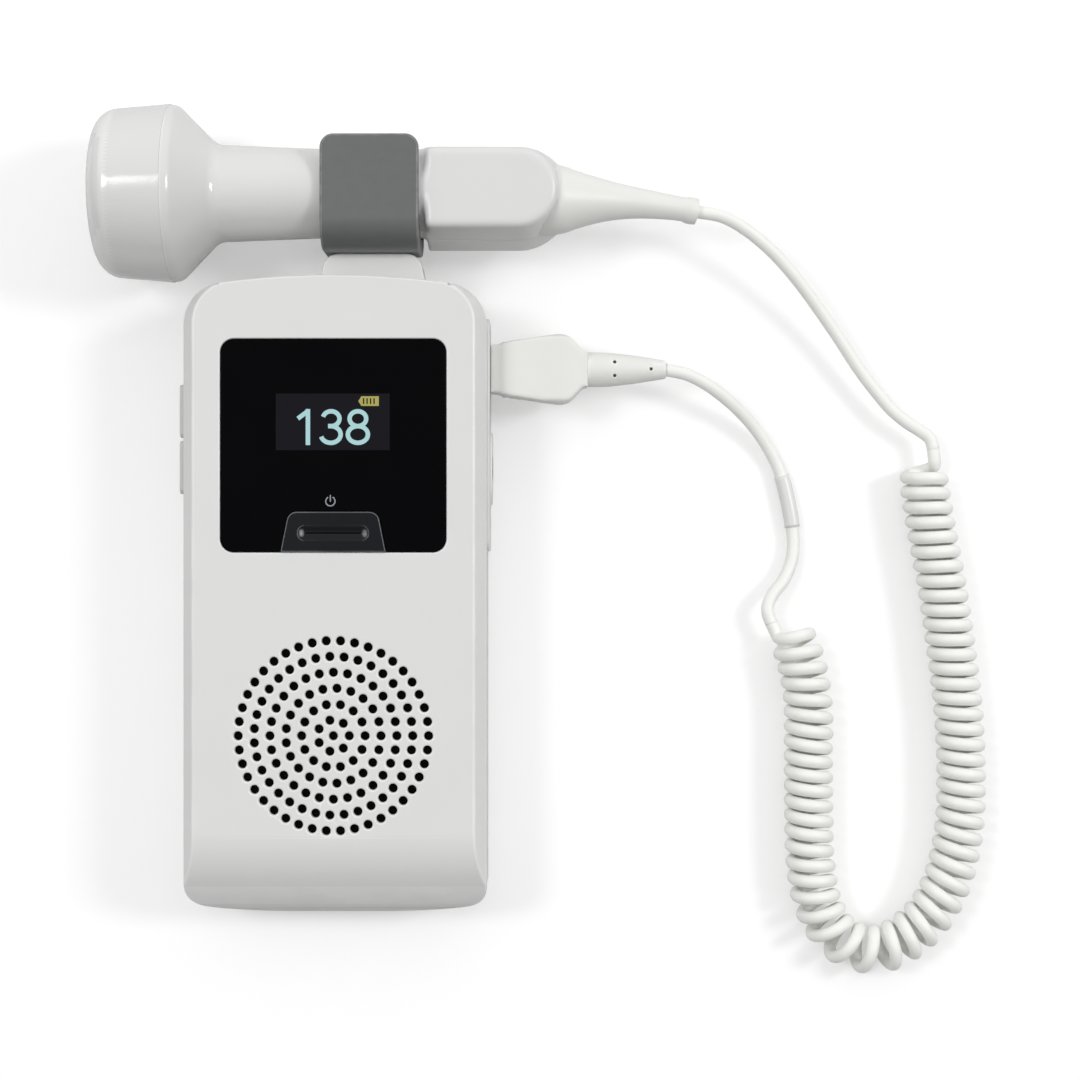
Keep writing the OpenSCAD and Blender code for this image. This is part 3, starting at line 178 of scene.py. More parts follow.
def tube(name, route, radii, sides, ends=(None, None), spokes=None):
    """A closed tube of rings along a route in metres. radii has one radius per point."""
    dirs = directions(route, *ends)
    mesh = bmesh.new()
    uv = mesh.loops.layers.uv.new("along")
    angles = [2 * math.pi * k / sides for k in range(sides)]
    rings, marks = [], [0.0]
    for p, d, n, r in zip(route, dirs, spokes or carried_spokes(dirs), radii):
        n = (n - n.dot(d) * d).normalized()
        b = d.cross(n)
        rings.append(
            [mesh.verts.new(p + r * (math.cos(a) * n + math.sin(a) * b)) for a in angles]
        )
    for a, b in zip(route, route[1:]):
        marks.append(marks[-1] + (b - a).length)
    for i in range(len(rings) - 1):
        for k in range(sides):
            m = (k + 1) % sides
            face = mesh.faces.new((rings[i][k], rings[i][m], rings[i + 1][m], rings[i + 1][k]))
            face.smooth = True
            corners = ((k, i), (k + 1, i), (k + 1, i + 1), (k, i + 1))
            for loop, (u, v) in zip(face.loops, corners):
                loop[uv].uv = (u / sides, marks[v] / UV_LENGTH)
    mesh.faces.new(list(reversed(rings[0])))
    mesh.faces.new(rings[-1])
    return new_piece(name, mesh)


# %% [markdown]
# The curly cord is the piece that catches the eye. It is one left-handed winding
# about an axis that runs down, round a tight bend and up again. First comes that
# axis, with its length and its direction at each point.

# %% Axis of the curls
CORD = 3.45 * MM
CURL = 13.4 * MM
AXIS = [
    (156.2, 39.8), (157, 33), (159, 20), (162, 4), (164.5, -13), (166.5, -30),
    (167.3, -46), (166.8, -62), (163.6, -76.5), (156.8, -88), (146, -94.9),
    (135.3, -92.8), (128.8, -83.5), (126.5, -71), (126.1, -57), (126, -43),
    (126, -30.5), (125, -21.5), (122.7, -13), (119.2, -5.4),
]
curl_r = (CURL - CORD) / 2
axis = through([(x * MM, y * MM, CURL / 2) for x, y in AXIS], 12)
marks = [0.0]
turn_marks, turns = [], []
for a, b in zip(axis, axis[1:]):
    marks.append(marks[-1] + (b - a).length)
    turn_marks.append((marks[-2] + marks[-1]) / 2)
    # A full turn is taken off directions above 0, so that they never jump on the way.
    angle = math.atan2(b.y - a.y, b.x - a.x)
    turns.append(angle - 2 * math.pi if angle > 0 else angle)
axis_length = marks[-1]
axis_x = [p.x for p in axis]
axis_y = [p.y for p in axis]
print("axis of the curls:", round(axis_length / MM), "mm")

# %% [markdown]
# The bend opens the curls like a fan, because the cord takes the same room on the
# inside of the bend as on the straight. So the turning rate falls where the axis
# bends, and it eases in and out at both ends, where the cord leaves the winding in a
# straight line. The rates are added up in many small steps and scaled to the number
# of curls that the photograph shows.

# %% Turning of the curls
CURLS = 55
RAMP = 2.6 * MM
BEND_REACH = 2.5 * MM
STEPS = 8000


def look_up(s, keys, values):
    """The value at s, in a straight line between the two nearest keys."""
    if s <= keys[0]:
        return values[0]
    if s >= keys[-1]:
        return values[-1]
    i = bisect.bisect_right(keys, s) - 1
    f = (s - keys[i]) / (keys[i + 1] - keys[i])
    return values[i] + (values[i + 1] - values[i]) * f


def bend_at(s):
    """How fast the axis bends at s, in radians per metre."""
    a, b = max(s - BEND_REACH, 0), min(s + BEND_REACH, axis_length)
    return (look_up(a, turn_marks, turns) - look_up(b, turn_marks, turns)) / (b - a)


def ease(f):
    """A soft start and stop between 0 and 1."""
    f = max(0.0, min(1.0, f))
    return f * f * (3 - 2 * f)


def curl_share(s):
    """The turning rate at s, as a share of that on the straight."""
    ends = ease((s - CORD) / RAMP) * ease((axis_length - s - CORD) / RAMP)
    return (1 - abs(bend_at(s)) * curl_r) * ends


step = axis_length / STEPS
shares = [curl_share((i + 0.5) * step) for i in range(STEPS)]
pitch = sum(shares) * step / CURLS
angles = [0.0]
for share in shares:
    angles.append(angles[-1] + 2 * math.pi * share * step / pitch)
print("curls:", CURLS, "pitch", round(pitch / MM, 2), "mm")

# %% [markdown]
# A point of the winding lies on a spoke that turns about the axis. The curls are
# narrower at both ends, where the cord is let out to the leads. A point is kept
# wherever the cord has run on far enough for a new ring.

# %% Route of the curls
NARROW = 0.72
RINGS_PER_CURL = 24


def curl_place(s, angle):
    """Point of the winding at s along its axis, and the spoke that it lies on."""
    h = look_up(s, turn_marks, turns)
    out = Vector((-math.sin(h), math.cos(h), 0))
    spoke = math.cos(angle) * out - math.sin(angle) * Vector((0, 0, 1))
    middle = Vector((look_up(s, marks, axis_x), look_up(s, marks, axis_y), CURL / 2))
    full = ease((min(s, axis_length - s) - CORD) / (2 * RAMP))
    return middle + curl_r * (NARROW + (1 - NARROW) * full) * spoke, spoke


def heading(angle):
    """A level direction at an angle from the X axis."""
    return Vector((math.cos(angle), math.sin(angle), 0))


ring_gap = 2 * math.pi * curl_r / RINGS_PER_CURL
curl_route, curl_spokes = [], []
for i in range(STEPS + 1):
    place, spoke = curl_place(i * step, angles[i])
    far_enough = not curl_route or (place - curl_route[-1]).length >= ring_gap
    if far_enough or i == STEPS:
        curl_route.append(place)
        curl_spokes.append(spoke)
curl_start = heading(turns[0])
curl_end = heading(turns[-1])
print("cord in the curls:", round(route_length(curl_route), 3), "m")

# %% [markdown]
# The two straight leads leave the strain reliefs, sag to the table and rise a little
# into the curls. Their routes are smooth curves through listed points. The
# strain relief of the probe also has its radius at each point.

# %% Routes of the two leads
RELIEF_ROUTE = [
    (52.2, 104.9, 23.5, 9.1), (57.7, 104.9, 23.5, 9.05), (60.2, 104.9, 23.4, 8.55),
    (63.2, 104.9, 23.3, 7.5), (67.7, 104.85, 23.1, 6.2), (72.7, 104.65, 22.7, 5),
    (78.7, 104.3, 22.1, 4.1), (85.7, 103.6, 21.3, 3.45), (90.7, 102.95, 20.65, 3.2),
    (92.7, 102.63, 20.33, 3.55), (94.7, 102.3, 20, 3.45),
]
PROBE_LEAD = [
    (102, 101.1, 18.9), (109, 97.4, 17.2), (116, 91.8, 15), (122.5, 85, 12.6),
    (128.5, 77.5, 10.2), (134, 70, 8.4), (139.3, 62.2, 7.2), (144.2, 55.8, 6.7),
    (148.3, 51, 6.6), (152.4, 47.5, 6.6), (156.3, 45, 6.7), (158.9, 42.9, 6.7),
]
PLUG_END = (87.05, 61, 14)
PLUG_LEAD = [
    (93, 59.7, 13.3), (98.5, 57, 11.6), (104, 53.2, 9), (109, 48.8, 6.2),
    (113.2, 44, 4), (116.6, 38.8, 2.7), (119.2, 33, 2.2), (121, 26, 2.2),
    (122.2, 19, 2.2), (122.4, 13, 2.6), (121.4, 8.4, 3.3), (119.3, 4.2, 4.4),
    (116.4, 0.6, 5.6), (114.9, -3.2, 6.5),
]
LEAD_STEPS = 8
probe_points = metres(RELIEF_ROUTE[-1:] + PROBE_LEAD) + [curl_route[0]]
plug_points = metres([PLUG_END] + PLUG_LEAD) + [curl_route[-1]]
probe_lead_route = through(probe_points, LEAD_STEPS)
plug_lead_route = through(plug_points, LEAD_STEPS)
for lead, route in (("probe", probe_lead_route), ("plug", plug_lead_route)):
    print(lead, "lead:", round(route_length(route), 4), "m")

# %% [markdown]
# The leads end where the curls begin, ring on ring. The curls stay with the unit,
# and a short white sleeve sits on the plug's lead.

# %% Make the cords
RELIEF_DIRECTION = (2.8, -0.47, -0.47)
TO_THE_RIGHT = (1, 0, 0)
SLEEVE_FROM, SLEEVE_TO, SLEEVE_WALL = 7, 9, 0.35 * MM


def cord(name, route, sides, ends, spokes=None):
    return tube(name, route, [CORD / 2] * len(route), sides, ends, spokes)


curly = cord("curly_cord_winding", curl_route, 14, (curl_start, curl_end), curl_spokes)
probe_cord = cord("probe_cord", probe_lead_route, 18, (RELIEF_DIRECTION, curl_start))
plug_cord = cord("plug_cord", plug_lead_route, 18, (TO_THE_RIGHT, -curl_end))
sleeve_route = plug_lead_route[SLEEVE_FROM * LEAD_STEPS:SLEEVE_TO * LEAD_STEPS + 1]
sleeve_radii = [CORD / 2 + SLEEVE_WALL] * len(sleeve_route)
sleeve = tube("plug_cord_sleeve", sleeve_route, sleeve_radii, 24)

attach(curly, "main_unit")
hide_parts("curly_cord")
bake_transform(probe_cord)
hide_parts("probe_lead")
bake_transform(plug_cord)
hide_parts("plug_lead")
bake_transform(sleeve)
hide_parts("cord_sleeve")
for piece in (curly, probe_cord, plug_cord, sleeve):
    print(piece.name, len(piece.data.polygons), "faces")


# %% [markdown]
# A moulded part never has a razor edge. The frame's pieces are copied, their loose
# triangles merged, and a small round is put on each hard edge. Light then catches
# the rims, and the joints between two shells show as fine grooves. These helpers
# copy a piece and pick its hard edges.

# %% Helpers for soft edges
MERGE = 2e-6
HARD = math.radians(28)


def node_body(node):
    """The name of the body that a CAD piece moves with."""
    for body, nodes in frame["record"]["behaviour"]["bodies"].items():
        if node in nodes:
            return body
    raise KeyError(node)


def merged_copy(node, ending):
    """A copy of a CAD piece with its loose triangles merged, left in edit mode."""
    obj = bpy.data.objects.new(node + ending, frame["nodes"][node].data.copy())
    bpy.context.scene.collection.objects.link(obj)
    activate(obj)
    bpy.ops.object.mode_set(mode="EDIT")
    bpy.ops.mesh.select_all(action="SELECT")
    bpy.ops.mesh.remove_doubles(threshold=MERGE)
    return obj


def is_hard(edge):
    """True where two faces meet at a hard edge."""
    return len(edge.link_faces) == 2 and edge.calc_face_angle(0) > HARD


def weigh_edges(obj, spared):
    """Give the hard edges the weight 1, but for those with both ends on a spared place."""
    mesh = bmesh.new()
    mesh.from_mesh(obj.data)
    weight = mesh.edges.layers.float.new("bevel_weight_edge")
    for edge in mesh.edges:
        if is_hard(edge) and not (spared and all(spared(v.co / MM) for v in edge.verts)):
            edge[weight] = 1
    mesh.to_mesh(obj.data)
    mesh.free()


# %% [markdown]
# Each soft copy marks the narrow faces of its rounds, and the materials read that mark later
# to paint a lighter colour there: a painted highlight along the rims.

# %% Marks on the rims
RIM_WIDTH = 0.4
RIM_TURN = math.radians(9)


def mark_rims(obj):
    """Mark the narrow faces of rounded edges with the face attribute rim.

    A face counts when it is narrow and its skin turns outwards at one of its sides.
    """
    mesh = bmesh.new()
    mesh.from_mesh(obj.data)
    strips = []
    for face in mesh.faces:
        shared = [edge for edge in face.edges if len(edge.link_faces) == 2]
        turn = max((edge.calc_face_angle_signed(0) for edge in shared), default=0)
        narrow = 2 * face.calc_area() / face.calc_perimeter() < RIM_WIDTH * MM
        strips.append(1.0 if narrow and turn > RIM_TURN else 0.0)
    mesh.free()
    obj.data.attributes.new("rim", "FLOAT", "FACE").data.foreach_set("value", strips)


# %% [markdown]
# The round itself is a Bevel modifier that works on the weighed edges. Faces that
# lie level are first dissolved into one, so that the bevel meets whole edges. After
# it, weighted normals keep the flat faces flat to the eye. The wall at the foot is
# left out, because a round on its curved top and bottom would fold over itself.

# %% Soft copies of the moulded pieces
LEVEL = math.radians(0.6)
SMOOTH_BELOW = math.radians(30)
EDGES = {
    "front_cover": 0.5, "rear_cover": 0.4, "connector_panel": 0.3, "display_window": 0.2,
    "power_button": 0.3, "volume_up_button": 0.4, "volume_down_button": 0.4,
    "battery_door": 0.25, "holder_mount": 0.5, "probe_clip": 0.6, "probe_cap": 0.04,
    "probe_upper_shell": 0.04, "probe_lower_shell": 0.04,
    "earphone_socket": 0.15, "plug_relief": 0.1,
}


def foot_wall(p):
    """True on the curved wall at the foot, for a point in millimetres."""
    return p.y < -80 and abs(p.x) < 33


def softened(node, edge, spared=None):
    """A copy of a CAD piece whose hard edges are rounded by so many millimetres."""
    obj = merged_copy(node, "_soft")
    bpy.ops.mesh.dissolve_limited(angle_limit=LEVEL)
    bpy.ops.object.mode_set(mode="OBJECT")
    weigh_edges(obj, spared)
    bevel = obj.modifiers.new("rounded edges", "BEVEL")
    bevel.width = edge * MM
    bevel.segments = 3
    bevel.limit_method = "WEIGHT"
    bevel.use_clamp_overlap = False
    bevel.loop_slide = False
    bpy.ops.object.modifier_apply(modifier=bevel.name)
    bpy.ops.object.shade_smooth_by_angle(angle=SMOOTH_BELOW)
    flat_faces = obj.modifiers.new("flat faces stay flat", "WEIGHTED_NORMAL")
    flat_faces.mode = "FACE_AREA"
    flat_faces.weight = 100
    flat_faces.keep_sharp = True
    bpy.ops.object.modifier_apply(modifier=flat_faces.name)
    mark_rims(obj)
    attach(obj, node_body(node))
    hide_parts(node)
    print(obj.name, len(obj.data.polygons), "faces")
    return obj


SPARED = {"rear_cover": foot_wall}
soft = {node: softened(node, edge, SPARED.get(node)) for node, edge in EDGES.items()}


# %% [markdown]
# The plug is moulded in soft rubber, and the grip of the probe is a form for the
# hand: neither has a sharp edge in the photograph. A voxel remesh gives a copy small
# even faces, and a smooth modifier melts its edges into one flowing skin. A wide
# round can be put on chosen edges first, for a fuller form than smoothing gives.

# %% Helpers for melted copies
def round_wide(obj, width, test):
    """Round the hard edges whose two ends pass the test, by width in millimetres."""
    mesh = bmesh.new()
    mesh.from_mesh(obj.data)
    chosen = [
        edge for edge in mesh.edges
        if is_hard(edge) and all(test(v.co / MM) for v in edge.verts)
    ]
    bmesh.ops.bevel(
        mesh, geom=chosen, offset=width * MM, offset_type="OFFSET", segments=6,
        profile=0.5, affect="EDGES", clamp_overlap=False, loop_slide=False,
    )
    mesh.to_mesh(obj.data)
    mesh.free()


def cut_across(x, **cleared):
    """Cut the selected faces at x in millimetres, and close the cut."""
    bpy.ops.mesh.bisect(plane_co=(x * MM, 0, 0), plane_no=(1, 0, 0), use_fill=True, **cleared)


def melted(node, voxel, repeats, held, wide=None, cut_x=None):
    """A copy of a CAD piece with small even faces, smoothed so that its edges flow.

    held says for a point how far the smoothing holds back, wide is the width and
    the test for round_wide, and cut_x is the place where the copy is cut off.
    """
    obj = merged_copy(node, "_melted")
    if cut_x is not None:
        cut_across(cut_x, clear_inner=True)
    bpy.ops.object.mode_set(mode="OBJECT")
    if wide:
        round_wide(obj, *wide)
    even = obj.modifiers.new("even faces", "REMESH")
    even.mode = "VOXEL"
    even.voxel_size = voxel * MM
    bpy.ops.object.modifier_apply(modifier=even.name)
    melt = obj.modifiers.new("melted edges", "SMOOTH")
    melt.factor = 0.5
    melt.iterations = repeats
    group = obj.vertex_groups.new(name="melt")
    for v in obj.data.vertices:
        group.add([v.index], 1 - held(v.co / MM), "REPLACE")
    melt.vertex_group = group.name
    bpy.ops.object.modifier_apply(modifier=melt.name)
    bpy.ops.object.shade_smooth()
    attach(obj, node_body(node))
    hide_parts(node)
    print(obj.name, len(obj.data.polygons), "faces")
    return obj


# %% [markdown]
# The plug's grip keeps its two end faces, where it meets its shell and its strain
# relief. Three fine ribs stand on its side towards the foot of the unit. Each is a
# cube with well rounded edges, partly sunk in the grip.

# %% Plug grip and its ribs
PLUG_VOXEL, PLUG_REPEATS = 0.22, 80
PLUG_Z = 14
RIB_X, RIB_Y, RIB_TURN = (3.4, 5.4, 7.4), (54.25, 54.02, 53.8), 0.11
RIB_SIZE, RIB_ROUND = (0.9, 1.3, 5.2), 0.4
plug_low, plug_high = (Vector(corner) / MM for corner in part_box("plug_grip"))


def plug_ends(p):
    """1 at the two ends of the grip, falling to 0 within a millimetre."""
    shell_end = between(p.x, plug_low.x + 0.8, plug_low.x)
    relief_end = between(p.x, plug_high.x - 1, plug_high.x)
    return max(shell_end, relief_end)


soft["plug_grip"] = melted("plug_grip", PLUG_VOXEL, PLUG_REPEATS, plug_ends)
ribs = []
for i, (x, y) in enumerate(zip(RIB_X, RIB_Y)):
    deselect()
    bpy.ops.mesh.primitive_cube_add(
        size=1, location=((plug_low.x + x) * MM, y * MM, PLUG_Z * MM),
        rotation=(0, 0, -RIB_TURN), scale=[side * MM for side in RIB_SIZE],
    )
    rib = bpy.context.object
    rib.name = "plug_rib_%d" % (i + 1)
    bpy.ops.object.transform_apply(location=True, rotation=True, scale=True)
    bpy.ops.object.mode_set(mode="EDIT")
    bpy.ops.mesh.select_all(action="SELECT")
    bpy.ops.mesh.bevel(offset=RIB_ROUND * MM, segments=4, affect="EDGES")
    bpy.ops.object.mode_set(mode="OBJECT")
    bpy.ops.object.shade_smooth_by_angle(angle=math.radians(60))
    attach(rib, "plug")
    ribs.append(rib)
print("ribs:", len(ribs))

# %% [markdown]
# The probe's two half shells are cut under the clip, which hides the cut from above
# while the probe lies in it. The head's part keeps its crisp seam, and the grip's part
# is melted. The smoothing holds back at the seam, at the cut and round the mouth of
# the strain relief, so that the parts still meet there.

# %% Probe grip
GRIP_VOXEL, GRIP_REPEATS = 0.35, 20
CUT_X = 12
PROBE_Y, PROBE_Z = 106.5, 23.5
NECK_R = 9.5
PAD_ROUND = 1.5


def pad_edge(p):
    """True on the raised pad of the upper half, outside the round neck."""
    outside = (p.y - PROBE_Y) ** 2 + (p.z - PROBE_Z) ** 2 > NECK_R**2
    return p.x > 22 and p.z > PROBE_Z + 4 and outside


def probe_joints(p):
    """1 at the seam, the cut and the mouth, falling to 0 within a short way."""
    seam = between(abs(p.z - PROBE_Z), 0.8, 0)
    cut = between(p.x, CUT_X + 1.5, CUT_X)
    from_boot = math.hypot(p.y - RELIEF_ROUTE[0][1], p.z - PROBE_Z)
    mouth = between(p.x, 50, 52) * between(from_boot, 11, 10)
    return max(seam, cut, mouth)


WIDE = {"probe_upper_shell": (PAD_ROUND, pad_edge), "probe_lower_shell": None}
grips = []
for node, wide in WIDE.items():
    grips.append(melted(node, GRIP_VOXEL, GRIP_REPEATS, probe_joints, wide, CUT_X))
    activate(soft[node])
    bpy.ops.object.mode_set(mode="EDIT")
    bpy.ops.mesh.select_all(action="SELECT")
    cut_across(CUT_X, clear_outer=True)
    bpy.ops.object.mode_set(mode="OBJECT")

# %% [markdown]
# The strain relief on the probe is a soft, tapered boot. Its CAD solid is a row of
# rings, so it is swept again here with many more rings along the same line.

# %% Probe boot
BOOT_SIDES = 48
boot_route = through(metres(RELIEF_ROUTE), LEAD_STEPS)
boot_radii = [p.x * MM for p in through([(row[3], 0, 0) for row in RELIEF_ROUTE], LEAD_STEPS)]
boot = tube("probe_boot", boot_route, boot_radii, BOOT_SIDES, (TO_THE_RIGHT, RELIEF_DIRECTION))
activate(boot)
bpy.ops.object.shade_smooth_by_angle(angle=math.radians(35))
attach(boot, "probe")
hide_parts("probe_relief")
print("boot:", len(boot_route), "rings")

# %% [markdown]
# Materials are built from one shared node group. It breaks up a moulded surface with
# a faint mottle and a fine grain. It also turns the mark on the rims into a band of
# painted highlight, broken up by the mottle.

# %% Shared node group
moulded = bpy.data.node_groups.new("moulded surface", "ShaderNodeTree")
moulded.interface.new_socket("Vector", in_out="INPUT", socket_type="NodeSocketVector")
for label in ("Grain scale", "Mottle scale", "Rim"):
    moulded.interface.new_socket(label, in_out="INPUT", socket_type="NodeSocketFloat")
for label in ("Mottle", "Grain", "Painted highlight"):
    moulded.interface.new_socket(label, in_out="OUTPUT", socket_type="NodeSocketFloat")
given = moulded.nodes.new("NodeGroupInput").outputs
result = moulded.nodes.new("NodeGroupOutput").inputs


def noise(label, detail, roughness):
    """A noise of the group's own, with its scale from the socket of that label."""
    node = moulded.nodes.new("ShaderNodeTexNoise")
    node.inputs["Detail"].default_value = detail
    node.inputs["Roughness"].default_value = roughness
    moulded.links.new(given["Vector"], node.inputs["Vector"])
    moulded.links.new(given[label + " scale"], node.inputs["Scale"])
    moulded.links.new(node.outputs["Fac"], result[label])
    return node.outputs["Fac"]


mottle_value = noise("Mottle", 3, 0.5)
noise("Grain", 2, 0.6)
broken = moulded.nodes.new("ShaderNodeMapRange")
broken.inputs["From Min"].default_value = 0.35
broken.inputs["From Max"].default_value = 0.6
broken.inputs["To Min"].default_value = 0.35
# The rim mark times the broken mottle gives the mask of the painted highlight on the rims.
rim_highlight = moulded.nodes.new("ShaderNodeMath")
rim_highlight.operation = "MULTIPLY"
moulded.links.new(mottle_value, broken.inputs["Value"])
moulded.links.new(broken.outputs["Result"], rim_highlight.inputs[0])
moulded.links.new(given["Rim"], rim_highlight.inputs[1])
moulded.links.new(rim_highlight.outputs["Value"], result["Painted highlight"])
print("group:", moulded.name, [socket.name for socket in result if socket.name])


# %% [markdown]
# One recipe serves all plastics: two close colours that the mottle mixes, a spread of
# roughness, a fine grain as a bump, and a lighter colour painted on the rims as a
# highlight. It reads the grain in object coordinates, so it sits still on the piece.
# A metal is the same with a metallic shader.

# %% Recipes for plastic and metal
FIRST, SECOND, MIXED = 6, 7, 2


def tinted(nodes, first=None, second=None):
    """A colour mix node. The shader nodes number a colour mix's sockets 6, 7 and 2."""
    mix = nodes.new("ShaderNodeMix")
    mix.data_type = "RGBA"
    for socket, colour in ((FIRST, first), (SECOND, second)):
        if colour:
            mix.inputs[socket].default_value = (*colour, 1)
    return mix


def plastic(
    name, light, dark, roughness, spread,
    grain=2500, mottle=60, depth=0.01, specular=0.5, rim=None,
):
    """Moulded plastic. grain and mottle are scales, and depth is the bump's in millimetres."""
    made = bpy.data.materials.new(name)
    made.use_nodes = True
    nodes, links = made.node_tree.nodes, made.node_tree.links
    shader = nodes["Principled BSDF"]
    shader.inputs["Specular IOR Level"].default_value = specular

    surface = nodes.new("ShaderNodeGroup")
    surface.node_tree = moulded
    surface.inputs["Grain scale"].default_value = grain
    surface.inputs["Mottle scale"].default_value = mottle
    rim_mark = nodes.new("ShaderNodeAttribute")
    rim_mark.attribute_name = "rim"
    links.new(nodes.new("ShaderNodeTexCoord").outputs["Object"], surface.inputs["Vector"])
    links.new(rim_mark.outputs["Fac"], surface.inputs["Rim"])

    tint = tinted(nodes, dark, light)
    # The rims get a lighter colour here: a painted highlight along the rounded edges.
    highlighted = tinted(nodes, second=rim or [min(c * 1.08, 0.9) for c in light])
    links.new(surface.outputs["Mottle"], tint.inputs[0])
    links.new(tint.outputs[MIXED], highlighted.inputs[FIRST])
    links.new(surface.outputs["Painted highlight"], highlighted.inputs[0])
    links.new(highlighted.outputs[MIXED], shader.inputs["Base Color"])

    gloss = nodes.new("ShaderNodeMapRange")
    gloss.inputs["To Min"].default_value = roughness - spread
    gloss.inputs["To Max"].default_value = roughness + spread
    links.new(surface.outputs["Mottle"], gloss.inputs["Value"])
    links.new(gloss.outputs["Result"], shader.inputs["Roughness"])

    bump = nodes.new("ShaderNodeBump")
    bump.inputs["Strength"].default_value = 0.6
    bump.inputs["Distance"].default_value = depth * MM
    links.new(surface.outputs["Grain"], bump.inputs["Height"])
    links.new(bump.outputs["Normal"], shader.inputs["Normal"])
    return made


def metal(name, light, dark, roughness):
    made = plastic(name, light, dark, roughness, 0.08)
    made.node_tree.nodes["Principled BSDF"].inputs["Metallic"].default_value = 1.0
    return made


# %% [markdown]
# The white shells of the real device are three different whites: glossy on the head,
# satin on the housing and the grip, and a warmer rubber on the plug and the cord. The
# window is nearly black and polished, and the clip is a mid grey with a coarse grain.

# %% Finishes of the outside
white = plastic("glossy_white_shell", (0.76, 0.765, 0.755), (0.735, 0.74, 0.73), 0.3, 0.05)
probe_white = plastic("probe_shell", (0.75, 0.755, 0.745), (0.725, 0.73, 0.72), 0.13, 0.03)
grip_white = plastic(
    "probe_grip", (0.755, 0.76, 0.75), (0.73, 0.735, 0.725), 0.3, 0.05, specular=0.45
)
window = plastic(
    "polished_black_window", (0.0015, 0.0015, 0.002), (0.0005, 0.0006, 0.001), 0.06, 0.03,
    depth=0, specular=0.04,
)
# Its rim colour is a painted highlight along the button's edges.
charcoal = plastic(
    "charcoal_button", (0.004, 0.0055, 0.008), (0.002, 0.003, 0.005), 0.25, 0.06,
    specular=0.2, rim=(0.13, 0.14, 0.155),
)
# The scoop's rim colour is a painted highlight at its two ends.
scoop_highlighted = plastic(
    "scoop_with_painted_highlights", (0.003, 0.0035, 0.005), (0.0015, 0.002, 0.003), 0.3, 0.06,
    specular=0.25, rim=(0.3, 0.31, 0.31),
)
# Its rim colour is a painted highlight along the clip's edges.
grey_clip = plastic(
    "grey_clip", (0.136, 0.14, 0.139), (0.12, 0.124, 0.123), 0.42, 0.08,
    grain=1600, mottle=420, depth=0.05, rim=(0.22, 0.225, 0.225),
)
key_grey = plastic("grey_keys", (0.62, 0.62, 0.6), (0.6, 0.6, 0.58), 0.4, 0.05)
cord_white = plastic(
    "cord_jacket", (0.93, 0.935, 0.90), (0.88, 0.885, 0.85), 0.42, 0.06,
    grain=4000, mottle=250, depth=0.03,
)
sleeve_white = plastic("shrink_sleeve", (0.8, 0.8, 0.79), (0.77, 0.77, 0.76), 0.3, 0.05)
plug_white = plastic(
    "plug_rubber", (0.83, 0.835, 0.805), (0.80, 0.805, 0.775), 0.4, 0.05,
    mottle=150, depth=0.02,
)

# %% [markdown]
# Inside are the usual finishes of such a device. Most of them are hidden, but the
# sockets and the cloth behind the grille are seen.

# %% Finishes of the inside
black_plastic = plastic(
    "black_inner_plastic", (0.02, 0.02, 0.022), (0.012, 0.012, 0.014), 0.5, 0.08
)
board_green = plastic("green_board", (0.01, 0.12, 0.05), (0.008, 0.1, 0.04), 0.35, 0.05)
pack_grey = plastic("wrapped_cell", (0.08, 0.1, 0.14), (0.07, 0.09, 0.12), 0.3, 0.05)
crystal = plastic("ceramic_disc", (0.6, 0.47, 0.28), (0.55, 0.42, 0.24), 0.6, 0.08)
steel = metal("bright_steel", (0.62, 0.62, 0.62), (0.5, 0.5, 0.5), 0.3)
gold = metal("gilt_contacts", (0.9, 0.65, 0.25), (0.8, 0.55, 0.2), 0.25)
cloth = plastic(
    "black_cloth", (0.003, 0.003, 0.003), (0.001, 0.001, 0.001), 0.9, 0.05,
    grain=1800, depth=0.2, specular=0.1,
)

# %% [markdown]
# Each CAD piece gets one finish. Where a soft or melted copy stands for it, the copy
# gets it, and otherwise the frame's own piece does.

# %% Dress the pieces
FINISH = {
    "front_cover": white, "rear_cover": white, "connector_panel": white,
    "display_window": window, "power_button": charcoal, "volume_up_button": key_grey,
    "volume_down_button": key_grey, "battery_door": white, "holder_mount": white,
    "probe_clip": grey_clip, "probe_cap": probe_white, "probe_upper_shell": probe_white,
    "probe_lower_shell": probe_white, "plug_grip": plug_white, "plug_relief": plug_white,
    "earphone_socket": black_plastic, "oled_panel": black_plastic,
    "display_holder": black_plastic, "power_switch": steel, "volume_switches": steel,
    "circuit_board": board_green, "board_parts": black_plastic, "board_screws": steel,
    "speaker_frame": black_plastic, "speaker_cone": black_plastic,
    "speaker_magnet": steel, "dust_cloth": cloth, "probe_socket": steel,
    "socket_tongue": black_plastic, "socket_contacts": gold, "battery_pack": pack_grey,
    "battery_contacts": gold, "case_screws": steel, "clip_screws": steel,
    "crystal_discs": crystal, "crystal_backing": black_plastic,
    "probe_seal": black_plastic, "probe_board": board_green, "plug_shell": steel,
    "plug_insulator": black_plastic, "plug_contacts": gold,
}


def dress(obj, finish):
    """Give an object one material all over."""
    obj.data.materials.clear()
    obj.data.materials.append(finish)


for node, finish in FINISH.items():
    if node in soft:
        dress(soft[node], finish)
    else:
        for material_slot in frame["nodes"][node].material_slots:
            material_slot.material = finish
for piece in [boot] + ribs:
    dress(piece, plug_white)
for piece in grips:
    dress(piece, grip_white)
for piece in (curly, probe_cord, plug_cord):
    dress(piece, cord_white)
dress(sleeve, sleeve_white)
print("dressed", len(FINISH), "CAD pieces,", len(bpy.data.materials), "materials in all")

# %% [markdown]
# Behind the window a small display shows the heart rate in pale blue figures, with a
# yellow battery sign above them. The window is black, so these are thin plates laid
# on its face, and their light is set in the shader. A plate is cut from outlines in
# millimetres.

# %% Helpers for the display
GLASS = 34.02 * MM
LAYER = 0.01 * MM


